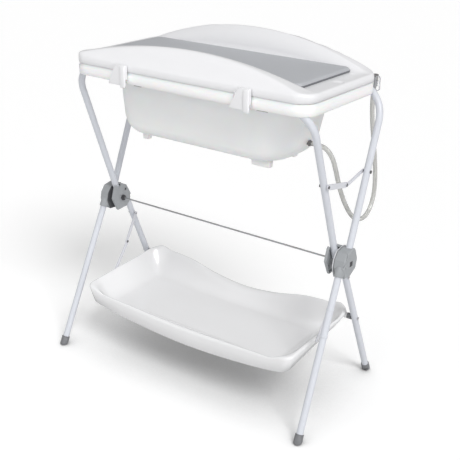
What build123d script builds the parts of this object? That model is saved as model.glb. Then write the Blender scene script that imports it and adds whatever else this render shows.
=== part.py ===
from build123d import *
import os
from math import atan2, cos, degrees, hypot, radians, sin, sqrt, tan

# Folding changing table: two tube frames crossed at grey hubs carry a bath with a lift-up
# changing top, and a fold-up shelf hangs between the rear legs.
# Millimetres. X runs along the long side, -Y is the front and +Z is up. The origin is on
# the floor, under the middle of the frame.

# Clearances
running_gap = 0.06
seat_gap = 0.3
side_gap = 0.5
overrun = 20.0

# Frame tubes
tube_diameter = 19.0
tube_wall = 1.2
pivot_height = 440.0
crossbar_height = 880.0
crossbar_reach = 167.0
foot_reach = 226.5
socket_offset = 26.8
outer_hub_span = 418.0
outer_top_span = 411.5
outer_foot_span = 432.0
inner_hub_span = 387.0
inner_top_span = 386.0
inner_foot_span = 395.0
front_bend_radius = 80.0
rear_bend_radius = 92.0
arm_stand_off = 12.0
leg_stand_off = 4.0

# Rubber feet
foot_diameter = 24.0
foot_length = 27.0
foot_sole = 8.0

# Hubs
hub_size = 38.0
hub_rise = 3.0
hub_plate = 3.5
hub_chamfer = 3.5
cup_chamfer = 1.2
outer_hub_depth = 31.5
inner_cup_lip = 8.0
inner_wall_reach = 12.0
inner_wall_angle = 36.0
arm_notch_start = 41.0
arm_notch_shift = 6.0
liner_thickness = 2.0
boss_diameter = 18.0
bolt_diameter = 8.0
bolt_head_flats = 15.0
bolt_head_height = 6.5
bolt_cap_diameter = 13.0
bolt_cap_height = 4.0
sleeve_diameter = 25.0
sleeve_length = 38.0
rod_diameter = 5.0
hub_screw_diameter = 6.0
hub_screw_head = 9.0
hub_screw_head_height = 2.2
hub_screw_radius = 25.0
hub_screw_length = 12.0
hub_screw_angles = (128.0, -42.0)
outer_hub_outline_shares = [
    (-1.03, -0.2), (-0.92, 0.36), (-0.55, 0.84), (0.15, 0.97), (0.56, 0.9), (0.9, 0.12), (0.74, -0.62),
    (-0.02, -1.03), (-0.75, -0.98)]
inner_hub_outline_shares = [
    (-1.1, 0.05), (-0.84, 0.95), (-0.5, 1.26), (0.5, 0.9), (1.0, 0.03), (0.88, -0.58), (0.47, -0.95),
    (-0.55, -1.03)]

# Lock stay between the right arms
lock_pivot_rise = 231.0
lock_knee_reach = 4.0
lock_knee_drop = 18.0
lock_link_thickness = 2.4
lock_front_width = 15.0
lock_rear_width = 10.0
stay_pin_diameter = 5.0
stay_pin_head = 9.0
stay_pin_head_height = 2.0
stay_tail_height = 0.6

# Shelf tray
tray_half_length = 369.0
tray_front_reach = 180.0
tray_rear_reach = 150.0
tray_front_corner = 55.0
tray_rear_corner = 40.0
tray_wall = 3.0
tray_floor_drop = 55.0
tray_floor_side_inset = 43.0
tray_floor_front_inset = 22.0
tray_floor_rear_inset = 42.0
tray_floor_corner = 34.0
tray_wall_lean = 20.0
tray_front_drop = 32.0
tray_front_rise = 33.0
tray_rear_drop = 20.0
tray_rear_rise = 52.0
tray_front_skirt = 47.0
tray_rear_skirt = 30.0
wave_length_shares = (0.0, 0.3, 0.6, 0.8, 1.0)
front_wave_shares = (0.0, 0.09, 0.3, 0.55, 1.0)
rear_wave_shares = (0.0, 0.23, 0.79, 1.0, 0.67)
shelf_pivot_drop = 227.0
shelf_pin_diameter = 6.0
shelf_boss_diameter = 17.0
shelf_boss_depth = 24.0
shelf_bush_diameter = 17.0

# Shelf stays, one at each end
shelf_stay_top_drop = 71.0
shelf_knee_reach = 13.0
shelf_knee_rise = 74.0
shelf_stay_low_reach = 45.0
shelf_stay_low_drop = 4.0
shelf_link_thickness = 2.4
shelf_link_width = 11.0

# Rim of the bath and base of the changing top
rim_half_length = 384.0
rim_half_width = 180.5
rim_bulge = 6.0
rim_corner = 46.0
rim_thickness = 3.0
rim_skirt_height = 31.0
arm_notch_width = 60.0
arm_notch_reach = 34.0

# Bath
bath_left_length = 301.0
bath_right_length = 316.5
bath_half_width = 131.5
bath_left_lean = 5.5
bath_right_lean = 12.5
bath_side_lean = 6.3
bath_left_corner = 88.0
bath_right_corner = 110.0
bath_corner_loss = 26.0
bath_wall = 3.0
bath_depth = 198.5
bath_side_round = 36.0
bath_end_round = 62.0
bath_round_level_shares = (0.0, 0.034, 0.134, 0.293, 0.5, 0.741, 1.0)
bath_floor_margin = 1.0
bath_foot_height = 18.0
bath_foot_width = 18.0
bath_foot_reach = 62.0
bath_small_foot_length = 20.0
bath_small_foot_place = 214.0
bath_long_foot_length = 58.0
bath_long_foot_place = 182.0

# Drain
drain_drop = 148.8
drain_outer_diameter = 12.0
drain_bore = 9.0
drain_flange_diameter = 26.0
drain_flange_thickness = 3.5
drain_nut_flats = 15.0
drain_nut_thickness = 3.0
drain_spout = 10.0
plug_head_diameter = 18.0
plug_head_thickness = 5.0
plug_stem_length = 14.0
plug_tab_height = 12.0
plug_tab_thickness = 3.0

# Changing top
top_edge_height = 22.0
top_edge_round = 7.0
top_wall = 3.0
top_shoulder = 9.0
front_crest_rise = 53.0
rear_crest_rise = 76.0
crest_half_chord = 372.0
crest_end_drop = 4.0
front_crest_reach = 140.0
rear_crest_reach = 152.0
crest_width = 13.0
front_wall_foot = 128.0
rear_wall_foot = 136.0
recess_place = 358.0
recess_diameter = 26.0
recess_depth = 1.6

# Mat
mat_left_reach = 342.0
mat_right_reach = 326.0
mat_thickness = 12.0
mat_corner = 26.0
mat_edge_round = 5.0
mat_side_gap = 2.5

# Rear hinge of the changing top
hinge_place = 200.0
hinge_stand_off = 7.0
hinge_knuckle_length = 30.0
hinge_knuckle_diameter = 10.0
hinge_ear_thickness = 8.0
hinge_pin_diameter = 5.0

# Front latches
latch_place = 200.0
latch_width = 62.0
latch_height = 52.0
latch_stand_off = 5.0
latch_pivot_rise = 6.0
latch_barrel_diameter = 7.0
latch_thickness = 3.0
latch_tail = 9.0
latch_side_inset = 13.0
latch_lip_height = 5.0
latch_outline_shares = [(0.0, 0.0), (1.0, 0.0), (1.0, 1.0), (0.48, 1.0), (0.28, 0.93), (0.17, 0.6), (0.0, 0.14)]
latch_rib_width = 9.0
latch_rib_height = 3.5
latch_rib_drop = 4.0
latch_pin_diameter = 3.0
latch_ear_thickness = 5.0

# Hose and its holder at the rear right corner of the rim
hose_diameter = 12.6
holder_top_rise = 5.2
holder_left = 353.0
holder_right = 367.5
holder_thickness = 3.5
holder_eye_place = 375.5
holder_eye_drop = 11.3
holder_eye_width = 15.0
holder_eye_length = 26.0
holder_eye_wall = 2.6
holder_ring_wall = 2.5
holder_ring_length = 16.0
hose_cap_length = 14.0
hose_cap_wall = 1.6
hose_points = [
    (324.0, 0.0, 744.0),
    (345.0, 1.0, 732.0),
    (358.0, 4.5, 710.0),
    (362.5, 14.0, 678.0),
    (362.5, 40.0, 622.0),
    (363.0, 84.0, 556.0),
    (362.0, 142.0, 502.0),
    (362.5, 206.0, 491.0),
    (362.0, 246.0, 534.0),
    (361.0, 250.0, 600.0),
    (361.0, 229.0, 684.0),
    (360.0, 203.0, 770.0),
    (360.0, 192.5, 838.0),
]
hose_top = (363.0, 193.5, 888.5)
hose_bend_share = 0.45

# Places worked out from the sizes above
tube_radius = tube_diameter / 2
crossbar_top = crossbar_height + tube_radius
flange_bottom = crossbar_top + seat_gap
flange_top = flange_bottom + rim_thickness
skirt_bottom = flange_top - rim_skirt_height
top_base = flange_top + seat_gap
deck_height = top_base + top_edge_height
mat_base = deck_height + seat_gap
hub_height = pivot_height + hub_rise
drain_height = flange_top - drain_drop
shelf_pivot_height = pivot_height - shelf_pivot_drop
tray_floor_height = shelf_pivot_height - tray_floor_drop
tray_front_low = shelf_pivot_height - tray_front_drop
tray_rear_low = shelf_pivot_height - tray_rear_drop
tray_front = -tray_front_reach
tray_rear = tray_rear_reach
lock_pivot_height = pivot_height + lock_pivot_rise
latch_pivot_height = skirt_bottom + latch_pivot_rise
front_crest_height = deck_height + front_crest_rise
rear_crest_height = deck_height + rear_crest_rise
inner_cup_face = inner_hub_span - tube_radius - hub_plate - side_gap
liner_start = inner_hub_span + tube_radius + hub_plate
outer_hub_start = liner_start + liner_thickness + seat_gap
outer_hub_end = outer_hub_start + outer_hub_depth
rim_arc_edge = rim_half_width + rim_bulge


def side_edge(place, half_length=rim_half_length, half_width=rim_half_width, bulge=rim_bulge):
    """How far the bulged long side of the rim stands from the middle, at a place along X."""
    if bulge == 0:
        return half_width
    radius = (half_length ** 2 + bulge ** 2) / (2 * bulge)
    return half_width + bulge - radius + sqrt(radius ** 2 - place ** 2)


def leg_reach(height):
    """Distance of a leg's axis from the middle plane, at a height."""
    return foot_reach + (socket_offset - foot_reach) * height / pivot_height


def leg_span(height, foot_span, hub_span):
    """Distance of a leg's axis from the middle along X, at a height."""
    return foot_span + (hub_span - foot_span) * height / pivot_height


def arm_reach(height):
    """Distance of an arm's axis from the middle plane, at a height."""
    return crossbar_reach * (height - pivot_height) / (crossbar_height - pivot_height)


def arm_span(height, hub_span, top_span):
    """Distance of an arm's axis from the middle along X, at a height."""
    return hub_span + (top_span - hub_span) * (height - pivot_height) / (crossbar_height - pivot_height)


def across(place, reach, height):
    """Plane that looks along +X, with its own X along +Y and its own Y along +Z."""
    return Plane(origin=(place, reach, height), x_dir=(0, 1, 0), z_dir=(1, 0, 0))


def cylinder_x(start, end, reach, height, diameter):
    """Round bar along X."""
    return extrude(across(start, reach, height) * Circle(diameter / 2), end - start)


def bar_between(start, end, diameter, bore=0.0):
    """Round bar or tube between two points."""
    run = Vector(*end) - Vector(*start)
    section = Circle(diameter / 2)
    if bore > 0:
        section = section - Circle(bore / 2)
    return extrude(Plane(origin=start, z_dir=run) * section, run.length)


def block(x_range, y_range, z_range):
    """Box between three pairs of limits."""
    size = [high - low for low, high in (x_range, y_range, z_range)]
    middle = [(high + low) / 2 for low, high in (x_range, y_range, z_range)]
    return Pos(*middle) * Box(*size)


def left_of(piece):
    """The same piece at the left end."""
    return mirror(piece, about=Plane.YZ)


def along(start, end, distance):
    """Point at a distance from start towards end."""
    run = Vector(*end) - Vector(*start)
    return Vector(*start) + run.normalized() * distance


# Frames

def upper_frame(hub_span, top_span, reach, bend_radius):
    """Crossbar with an arm bent down at each end, in one tube."""
    corner = (top_span, reach, crossbar_height)
    end = along((hub_span, 0, pivot_height), corner, arm_stand_off)
    path = FilletPolyline(
        (-end.X, end.Y, end.Z), (-top_span, reach, crossbar_height), corner, (end.X, end.Y, end.Z),
        radius=bend_radius)
    section = Circle(tube_radius) - Circle(tube_radius - tube_wall)
    start_plane = Plane(origin=path @ 0, z_dir=path % 0)
    return sweep(start_plane * section, path=path)


def leg_ends(hub_span, foot_span, side):
    """Foot point on the floor and the top of the leg's axis, at the right end."""
    return (foot_span, side * foot_reach, 0), (hub_span, side * socket_offset, pivot_height)


def leg(hub_span, foot_span, side):
    """Straight leg tube from its foot to its hub socket."""
    foot, top = leg_ends(hub_span, foot_span, side)
    lean = Vector(*top) - Vector(*foot)
    start = along(foot, top, foot_sole * lean.length / lean.Z)
    end = along(top, foot, leg_stand_off)
    return bar_between(start, end, tube_diameter, tube_diameter - 2 * tube_wall)


def foot_cap(hub_span, foot_span, side):
    """Rubber cap over the end of a leg, flat on the floor."""
    foot, top = leg_ends(hub_span, foot_span, side)
    below = along(foot, top, -foot_length)
    rim = along(foot, top, foot_length)
    lean = Vector(*top) - Vector(*foot)
    seat = along(foot, top, foot_sole * lean.length / lean.Z)
    cap = bar_between(below, rim, foot_diameter)
    cap -= bar_between(seat, along(foot, top, foot_length + overrun), tube_diameter)
    reach = foot_length + overrun
    cap &= block((foot_span - reach, foot_span + reach), (foot[1] - reach, foot[1] + reach), (0, reach))
    return cap


# Hubs

def hub_outline(place, shares, grow=0.0):
    """Many-sided outline of a hub, in a plane across X."""
    points = [(hub_size * reach, hub_size * height) for reach, height in shares]
    outline = make_face(Polyline(*points, close=True))
    if grow != 0:
        outline = offset(outline, grow, kind=Kind.INTERSECTION)
    return across(place, 0, hub_height) * outline


def tube_space(hub_span, top_span, foot_span, leg_side):
    """Room for the arm and the leg that a hub holds."""
    arm_top = (top_span, -leg_side * crossbar_reach, crossbar_height)
    pivot = (hub_span, 0, pivot_height)
    arm = bar_between(along(pivot, arm_top, arm_stand_off - seat_gap),
                      along(pivot, arm_top, 3 * hub_size), tube_diameter)
    foot, top = leg_ends(hub_span, foot_span, leg_side)
    leg_bar = bar_between(along(top, foot, leg_stand_off - seat_gap),
                          along(top, foot, 3 * hub_size), tube_diameter)
    return arm, leg_bar


def screw_places(side):
    """Reach and height of each screw of an outer hub (side 1) or of an inner hub (side -1)."""
    return [(side * hub_screw_radius * cos(radians(angle)),
             hub_height + hub_screw_radius * sin(radians(angle))) for angle in hub_screw_angles]


def outer_hub():
    """Moulded hub half that holds the outer arm and the front leg."""
    body = extrude(hub_outline(outer_hub_start, outer_hub_outline_shares), outer_hub_depth)
    body = chamfer(body.faces().sort_by(Axis.X)[-1].edges(), hub_chamfer)
    foot, top = leg_ends(outer_hub_span, outer_foot_span, -1)
    body += bar_between(along(top, foot, leg_stand_off), along(top, foot, sleeve_length), sleeve_diameter)
    for space in tube_space(outer_hub_span, outer_top_span, outer_foot_span, -1):
        body -= space
    body -= cylinder_x(outer_hub_start - overrun, outer_hub_end + overrun, 0, pivot_height,
                       bolt_diameter + 2 * running_gap)
    body -= cylinder_x(outer_hub_end - bolt_cap_height, outer_hub_end + overrun, 0, pivot_height,
                       bolt_cap_diameter + 2 * seat_gap)
    for reach, height in screw_places(1):
        body -= cylinder_x(outer_hub_end - hub_screw_length, outer_hub_end + overrun, reach, height,
                           hub_screw_diameter)
    return body


def inner_hub():
    """Open hub half with the inner arm and the rear leg, walled only along its rear upper side."""
    depth = liner_start - seat_gap - inner_cup_face
    body = extrude(hub_outline(inner_cup_face, inner_hub_outline_shares), depth)
    body = chamfer(body.faces().sort_by(Axis.X)[0].edges(), cup_chamfer)
    body -= extrude(hub_outline(inner_cup_face + hub_plate, inner_hub_outline_shares, -hub_plate), depth)
    cut = across(inner_cup_face + inner_cup_lip, 0, hub_height) * Rot(0, 0, inner_wall_angle) * Pos(
        inner_wall_reach - 2 * hub_size, 0, 0) * Rectangle(4 * hub_size, 4 * hub_size)
    body -= extrude(cut, depth)
    body += cylinder_x(inner_cup_face + side_gap, liner_start - seat_gap, 0, pivot_height, boss_diameter)
    for space in tube_space(inner_hub_span, inner_top_span, inner_foot_span, 1):
        body -= space
    arm_top = (inner_top_span, -crossbar_reach, crossbar_height)
    pivot = (inner_hub_span, 0, pivot_height)
    body -= Pos(-arm_notch_shift, 0, 0) * bar_between(
        along(pivot, arm_top, arm_notch_start), along(pivot, arm_top, 3 * hub_size), tube_diameter)
    body -= cylinder_x(inner_cup_face - overrun, liner_start + overrun, 0, pivot_height,
                       bolt_diameter + 2 * running_gap)
    for reach, height in screw_places(-1):
        body -= cylinder_x(inner_cup_face - overrun, inner_cup_face + overrun / 2, reach, height,
                           hub_screw_diameter)
    return body


def hub_liner():
    """Thin white disc that the two hub halves turn against."""
    disc = extrude(hub_outline(liner_start, outer_hub_outline_shares, side_gap), liner_thickness)
    return disc - cylinder_x(liner_start - overrun, liner_start + overrun, 0, pivot_height,
                             bolt_diameter + 2 * running_gap)


def pivot_bolt():
    """Bolt that both hub halves turn on, with a hex head inboard and a cap outboard."""
    head_start = inner_cup_face - seat_gap - bolt_head_height
    shank = cylinder_x(head_start, outer_hub_end, 0, pivot_height, bolt_diameter)
    head = across(head_start, 0, pivot_height) * RegularPolygon(
        bolt_head_flats / 2, side_count=6, major_radius=False)
    cap = cylinder_x(outer_hub_end - bolt_cap_height + seat_gap, outer_hub_end + seat_gap, 0, pivot_height,
                     bolt_cap_diameter)
    return shank + extrude(head, bolt_head_height) + cap


def tie_rod():
    """Thin steel rod between the two pivot bolts."""
    end = inner_cup_face - seat_gap - bolt_head_height
    return cylinder_x(-end, end, 0, pivot_height, rod_diameter)


def hub_screws(face, outward):
    """Screws of one hub half, at both ends of the frame, as separate solids."""
    screws = []
    for reach, height in screw_places(1 if outward else -1):
        if outward:
            shank = cylinder_x(face - hub_screw_length, face, reach, height, hub_screw_diameter)
            head = cylinder_x(face, face + hub_screw_head_height, reach, height, hub_screw_head)
        else:
            shank = cylinder_x(face, face + hub_plate, reach, height, hub_screw_diameter)
            head = cylinder_x(face - hub_screw_head_height, face, reach, height, hub_screw_head)
        screw = shank + head
        screws += [screw, left_of(screw)]
    return Compound(children=[part_solid(screw) for screw in screws])


def part_solid(piece):
    """The one solid of a piece."""
    return piece.solids()[0]


# Links

def link(place, start, end, width, thickness, holes):
    """Flat link with round ends, between two (reach, height) points, with a hole at some points."""
    length = hypot(end[0] - start[0], end[1] - start[1])
    angle = degrees(atan2(end[1] - start[1], end[0] - start[0]))
    middle = ((start[0] + end[0]) / 2, (start[1] + end[1]) / 2)
    outline = across(place, middle[0], middle[1]) * Rot(0, 0, angle) * SlotCenterToCenter(length, width)
    body = extrude(outline, thickness)
    for point, hole in holes:
        body -= cylinder_x(place - overrun, place + thickness + overrun, point[0], point[1], hole)
    return body


lock_front_pivot = (-arm_reach(lock_pivot_height), lock_pivot_height)
lock_rear_pivot = (arm_reach(lock_pivot_height), lock_pivot_height)
lock_knee = (lock_knee_reach, lock_pivot_height - lock_knee_drop)
inner_arm_face = arm_span(lock_pivot_height, inner_hub_span, inner_top_span) + tube_radius
outer_arm_face = arm_span(lock_pivot_height, outer_hub_span, outer_top_span) - tube_radius
lock_middle = (inner_arm_face + outer_arm_face) / 2
stay_hole = stay_pin_diameter + 2 * running_gap
lock_front_start = lock_middle - seat_gap / 2 - lock_link_thickness
lock_rear_start = lock_middle + seat_gap / 2

shelf_pivot = (leg_reach(shelf_pivot_height), shelf_pivot_height)
shelf_stay_top_height = pivot_height - shelf_stay_top_drop
shelf_stay_top = (leg_reach(shelf_stay_top_height), shelf_stay_top_height)
shelf_knee = (shelf_knee_reach, shelf_pivot_height + shelf_knee_rise)
shelf_stay_low = (-shelf_stay_low_reach, shelf_pivot_height - shelf_stay_low_drop)
shelf_low_link_start = tray_half_length + side_gap
shelf_top_link_start = shelf_low_link_start + shelf_link_thickness + seat_gap


def lock_front_link():
    """Wide link of the lock stay, pinned to the inner arm."""
    return link(lock_front_start, lock_front_pivot, lock_knee, lock_front_width, lock_link_thickness,
                [(lock_front_pivot, stay_hole), (lock_knee, stay_pin_diameter)])


def lock_rear_link():
    """Narrow link of the lock stay, pinned to the outer arm, with the rivet's tail at its knee."""
    bar = link(lock_rear_start, lock_knee, lock_rear_pivot, lock_rear_width, lock_link_thickness,
               [(lock_rear_pivot, stay_hole)])
    end = lock_rear_start + lock_link_thickness
    return bar + cylinder_x(end, end + stay_tail_height, lock_knee[0], lock_knee[1], stay_pin_diameter)


def lock_knee_rivet():
    """Rivet at the knee of the lock stay, held by the front link."""
    return rivet_in(lock_front_start, lock_knee, -1)


def rivet_in(start, point, side):
    """Rivet through a link that starts at a place, with its head on one side of the link."""
    end = start + lock_link_thickness
    rivet = cylinder_x(start, end, point[0], point[1], stay_pin_diameter)
    face = end if side > 0 else start - stay_pin_head_height / 2
    return rivet + cylinder_x(face, face + stay_pin_head_height / 2, point[0], point[1], stay_pin_head)


def lock_pin(head_face, tip, point):
    """Pin through an arm that carries one end of the lock stay."""
    pin = cylinder_x(min(head_face, tip), max(head_face, tip), point[0], point[1], stay_pin_diameter)
    head = head_face - stay_pin_head_height if head_face < tip else head_face
    return pin + cylinder_x(head, head + stay_pin_head_height, point[0], point[1], stay_pin_head)


def shelf_top_link():
    """Upper link of the right shelf stay, pinned to the rear leg."""
    return link(shelf_top_link_start, shelf_stay_top, shelf_knee, shelf_link_width, shelf_link_thickness,
                [(shelf_stay_top, stay_hole), (shelf_knee, stay_pin_diameter)])


def shelf_low_link():
    """Lower link of the right shelf stay, pinned to the end of the tray."""
    return link(shelf_low_link_start, shelf_knee, shelf_stay_low, shelf_link_width, shelf_link_thickness,
                [(shelf_stay_low, stay_hole)])


def shelf_knee_rivet():
    """Rivet at the knee of the right shelf stay, held by the upper link."""
    return rivet_in(shelf_top_link_start, shelf_knee, 1)


def shelf_top_pin():
    """Pin through the rear leg that carries the upper link."""
    outside = leg_span(shelf_stay_top_height, inner_foot_span, inner_hub_span) + tube_radius + side_gap
    return (cylinder_x(shelf_top_link_start, outside, shelf_stay_top[0], shelf_stay_top[1],
                       stay_pin_diameter)
            + cylinder_x(outside, outside + stay_pin_head_height, shelf_stay_top[0], shelf_stay_top[1],
                         stay_pin_head))


def shelf_low_pin():
    """Pin in the end wall of the tray that carries the lower link."""
    inside = tray_half_length - tray_wall
    end = shelf_low_link_start + shelf_link_thickness
    return (cylinder_x(inside, end, shelf_stay_low[0], shelf_stay_low[1], stay_pin_diameter)
            + cylinder_x(inside - stay_pin_head_height, inside, shelf_stay_low[0], shelf_stay_low[1],
                         stay_pin_head))


def pin_holes(tube, place, pins):
    """Cross holes for pins in a tube."""
    for point, diameter in pins:
        tube -= cylinder_x(place - 2 * tube_diameter, place + 2 * tube_diameter, point[0], point[1], diameter)
    return tube


# Shelf

def wave(low, rise, shares, place, shift=0.0):
    """Wavy line along X at one reach, as a spline with the middle lowest."""
    points = [(share * tray_half_length * (1 + overrun / tray_half_length), place, low + rise * part + shift)
              for share, part in zip(wave_length_shares, shares)]
    mirrored = [(-x, y, z) for x, y, z in reversed(points[1:])]
    return Spline(*(mirrored + points))


def wave_body(front_top, rear_top, front_bottom, rear_bottom):
    """Body between a wavy upper and a wavy lower surface, ruled from the front to the rear."""
    faces = []
    for top, bottom in ((front_top, front_bottom), (rear_top, rear_bottom)):
        sides = [Line(top @ 1, bottom @ 1), Line(bottom @ 0, top @ 0)]
        faces.append(Face(Wire([top, bottom] + sides)))
    return loft(faces, ruled=True)


def tray_level(shift):
    """Front and rear wavy lines of the tray's upper surface, moved by a height."""
    return (wave(tray_front_low, tray_front_rise, front_wave_shares, tray_front - overrun, shift),
            wave(tray_rear_low, tray_rear_rise, rear_wave_shares, tray_rear + overrun, shift))


def tray_plan(inset):
    """Outline of the tray seen from above, with tighter corners at the rear."""
    front = tray_front + inset
    rear = tray_rear - inset
    half = tray_half_length - inset
    outline = make_face(Polyline((-half, front), (half, front), (half, rear), (-half, rear), close=True))
    outline = fillet(outline.vertices().group_by(Axis.Y)[0], tray_front_corner - inset)
    return fillet(outline.vertices().group_by(Axis.Y)[-1], tray_rear_corner - inset)


def basin(grow, floor):
    """Room inside the tray: a flat floor with walls that lean outwards."""
    half = tray_half_length - tray_floor_side_inset + grow
    front = tray_front + tray_floor_front_inset - grow
    rear = tray_rear - tray_floor_rear_inset + grow
    plan = Pos(0, (front + rear) / 2, floor) * RectangleRounded(2 * half, rear - front,
                                                               tray_floor_corner + grow)
    height = tray_rear_low + tray_rear_rise + overrun - floor
    return extrude(plan, height, taper=-tray_wall_lean)


def shelf_tray():
    """Storage tray with a wavy rim, a skirt all round and a pivot boss at each rear corner."""
    top_front, top_rear = tray_level(0)
    low_front, _ = tray_level(-tray_front_skirt)
    _, low_rear = tray_level(-tray_rear_skirt)
    tall = tray_rear_low + tray_rear_rise
    tray = extrude(tray_plan(0), tall + overrun) & wave_body(top_front, top_rear, low_front, low_rear)
    skin_front, skin_rear = tray_level(-tray_wall)
    deep_front, deep_rear = tray_level(-tall)
    under = extrude(Pos(0, 0, -overrun) * tray_plan(tray_wall), tall + 2 * overrun)
    under &= wave_body(skin_front, skin_rear, deep_front, deep_rear)
    tray -= under
    shell = basin(tray_wall, tray_floor_height - tray_wall)
    shell &= extrude(tray_plan(tray_wall / 2), tall + overrun)
    shell &= wave_body(top_front, top_rear, deep_front, deep_rear)
    tray += shell
    for side in (-1, 1):
        inner, outer = tray_half_length - shelf_boss_depth, tray_half_length - side_gap
        boss = cylinder_x(inner, outer, shelf_pivot[0], shelf_pivot[1], shelf_boss_diameter)
        tray += boss if side > 0 else left_of(boss)
    tray -= basin(0, tray_floor_height)
    for side in (-1, 1):
        holes = cylinder_x(tray_half_length - 2 * overrun, tray_half_length + overrun, shelf_pivot[0],
                           shelf_pivot[1], shelf_pin_diameter + 2 * running_gap)
        holes += cylinder_x(tray_half_length - overrun, tray_half_length + overrun, shelf_stay_low[0],
                            shelf_stay_low[1], stay_pin_diameter)
        tray -= holes if side > 0 else left_of(holes)
    return tray


def shelf_bush():
    """Grey bush between the tray and the rear leg."""
    end = leg_span(shelf_pivot_height, inner_foot_span, inner_hub_span) - tube_radius - seat_gap
    bush = cylinder_x(tray_half_length - side_gap + seat_gap, end, shelf_pivot[0], shelf_pivot[1],
                      shelf_bush_diameter)
    return bush - cylinder_x(tray_half_length - overrun, end + overrun, shelf_pivot[0], shelf_pivot[1],
                             shelf_pin_diameter + 2 * running_gap)


def shelf_pin():
    """Pin through the rear leg that the shelf turns on."""
    leg_place = leg_span(shelf_pivot_height, inner_foot_span, inner_hub_span)
    outside = leg_place + tube_radius + side_gap
    return (cylinder_x(tray_half_length - shelf_boss_depth, outside, shelf_pivot[0], shelf_pivot[1],
                       shelf_pin_diameter)
            + cylinder_x(outside, outside + stay_pin_head_height, shelf_pivot[0], shelf_pivot[1],
                         stay_pin_head))


# Bath

def rim_plan(inset):
    """Outline of the rim and of the changing top, with long sides that bulge a little."""
    half = rim_half_length - inset
    wide = rim_half_width - inset
    outline = [
        ThreePointArc((-half, -wide), (0, -wide - rim_bulge), (half, -wide)),
        Line((half, -wide), (half, wide)),
        ThreePointArc((half, wide), (0, wide + rim_bulge), (-half, wide)),
        Line((-half, wide), (-half, -wide)),
    ]
    face = make_face(outline)
    return fillet(face.vertices(), rim_corner - inset)


def bath_section(level, inset):
    """Outline of the bath's body at a level above its bottom, moved inwards by a wall thickness."""
    height = flange_top - bath_depth + inset + level
    drop = flange_top - height
    side_loss = round_loss(bath_side_round - inset, level) + drop * tan(radians(bath_side_lean))
    end_loss = round_loss(bath_end_round - inset, level)
    left = bath_left_length - inset - end_loss - drop * tan(radians(bath_left_lean))
    right = bath_right_length - inset - end_loss - drop * tan(radians(bath_right_lean))
    wide = bath_half_width - inset - side_loss
    outline = make_face(Polyline((-left, -wide), (right, -wide), (right, wide), (-left, wide), close=True))
    loss = bath_corner_loss * drop / bath_depth + end_loss / 2
    outline = fillet(outline.vertices().group_by(Axis.X)[0], bath_left_corner - inset - loss)
    outline = fillet(outline.vertices().group_by(Axis.X)[-1], bath_right_corner - inset - loss)
    return Pos(0, 0, height) * outline


def round_loss(radius, level):
    """How far a rounded bottom edge has drawn in at a level above the bottom."""
    if level >= radius:
        return 0.0
    return radius - sqrt(radius ** 2 - (radius - level) ** 2)


def bath_body(inset):
    """Tapered body of the bath, with rounded bottom edges that are wider at the ends."""
    levels = [share * (bath_end_round - inset) for share in bath_round_level_shares]
    levels.append(bath_depth - inset)
    return loft([bath_section(level, inset) for level in levels], ruled=True)


def floor_space():
    """Space of the flat middle of the bath's floor, which is a node of its own."""
    bottom = flange_top - bath_depth
    flat = bath_section(0, bath_wall).bounding_box()
    return block((flat.min.X + bath_floor_margin, flat.max.X - bath_floor_margin),
                 (flat.min.Y + bath_floor_margin, flat.max.Y - bath_floor_margin),
                 (bottom, bottom + bath_wall))


def bath_floor():
    """Flat middle of the bath's floor with the moulded feet that the bath stands on off the frame."""
    body = bath_body(0)
    floor = body & floor_space()
    for foot in bath_feet():
        floor += foot - body
    return floor


def bath_feet():
    """Blocks of the moulded feet, up into the rounding of the bath's lower edge."""
    bottom = flange_top - bath_depth
    low = bottom - bath_foot_height
    places = ((-bath_small_foot_place, bath_small_foot_length), (bath_long_foot_place, bath_long_foot_length))
    feet = []
    for place, length in places:
        for side in (-1, 1):
            reach = side * bath_foot_reach
            feet.append(block((place - length / 2, place + length / 2),
                              (reach - bath_foot_width / 2, reach + bath_foot_width / 2),
                              (low, bottom + bath_side_round / 2)))
    return feet


def hinge_axis():
    """Reach of the rear hinge's axis."""
    return side_edge(hinge_place) + hinge_stand_off


def latch_axis():
    """Reach of the front latches' axis."""
    return -side_edge(latch_place - latch_width / 2) - latch_stand_off


def ear(x_range, reach, height, diameter, root):
    """Ear along X that ties a round eye to a root box."""
    eye = cylinder_x(x_range[0], x_range[1], reach, height, diameter)
    low, high = sorted((reach, root[0]))
    return eye + block(x_range, (low, high), root[1])


def bath_ears():
    """Hinge ears behind the rim and latch ears in front of it."""
    ears = []
    skirt = rim_half_width - rim_thickness / 2
    for side in (-1, 1):
        middle = side * hinge_place
        for edge in (-1, 1):
            near = hinge_knuckle_length / 2 + seat_gap
            far = near + hinge_ear_thickness
            x_range = sorted((middle + edge * near, middle + edge * far))
            ears.append(ear(x_range, hinge_axis(), flange_top, hinge_knuckle_diameter,
                            (skirt, (flange_top - hinge_knuckle_diameter / 2, flange_top))))
        middle = side * latch_place
        for edge in (-1, 1):
            near = latch_width / 2 - latch_side_inset + seat_gap
            far = near + latch_ear_thickness
            x_range = sorted((middle + edge * near, middle + edge * far))
            ears.append(ear(x_range, latch_axis(), latch_pivot_height, latch_barrel_diameter,
                            (-skirt, (latch_pivot_height - latch_barrel_diameter / 2,
                                      latch_pivot_height + latch_barrel_diameter / 2))))
    return ears


def drain_wall(height, inset=0.0):
    """Place of the bath's right end wall at a height, on its outer face or moved inwards."""
    loss = round_loss(bath_end_round - inset, height - (flange_top - bath_depth) - inset)
    return bath_right_length - inset - loss - (flange_top - height) * tan(radians(bath_right_lean))


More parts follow.
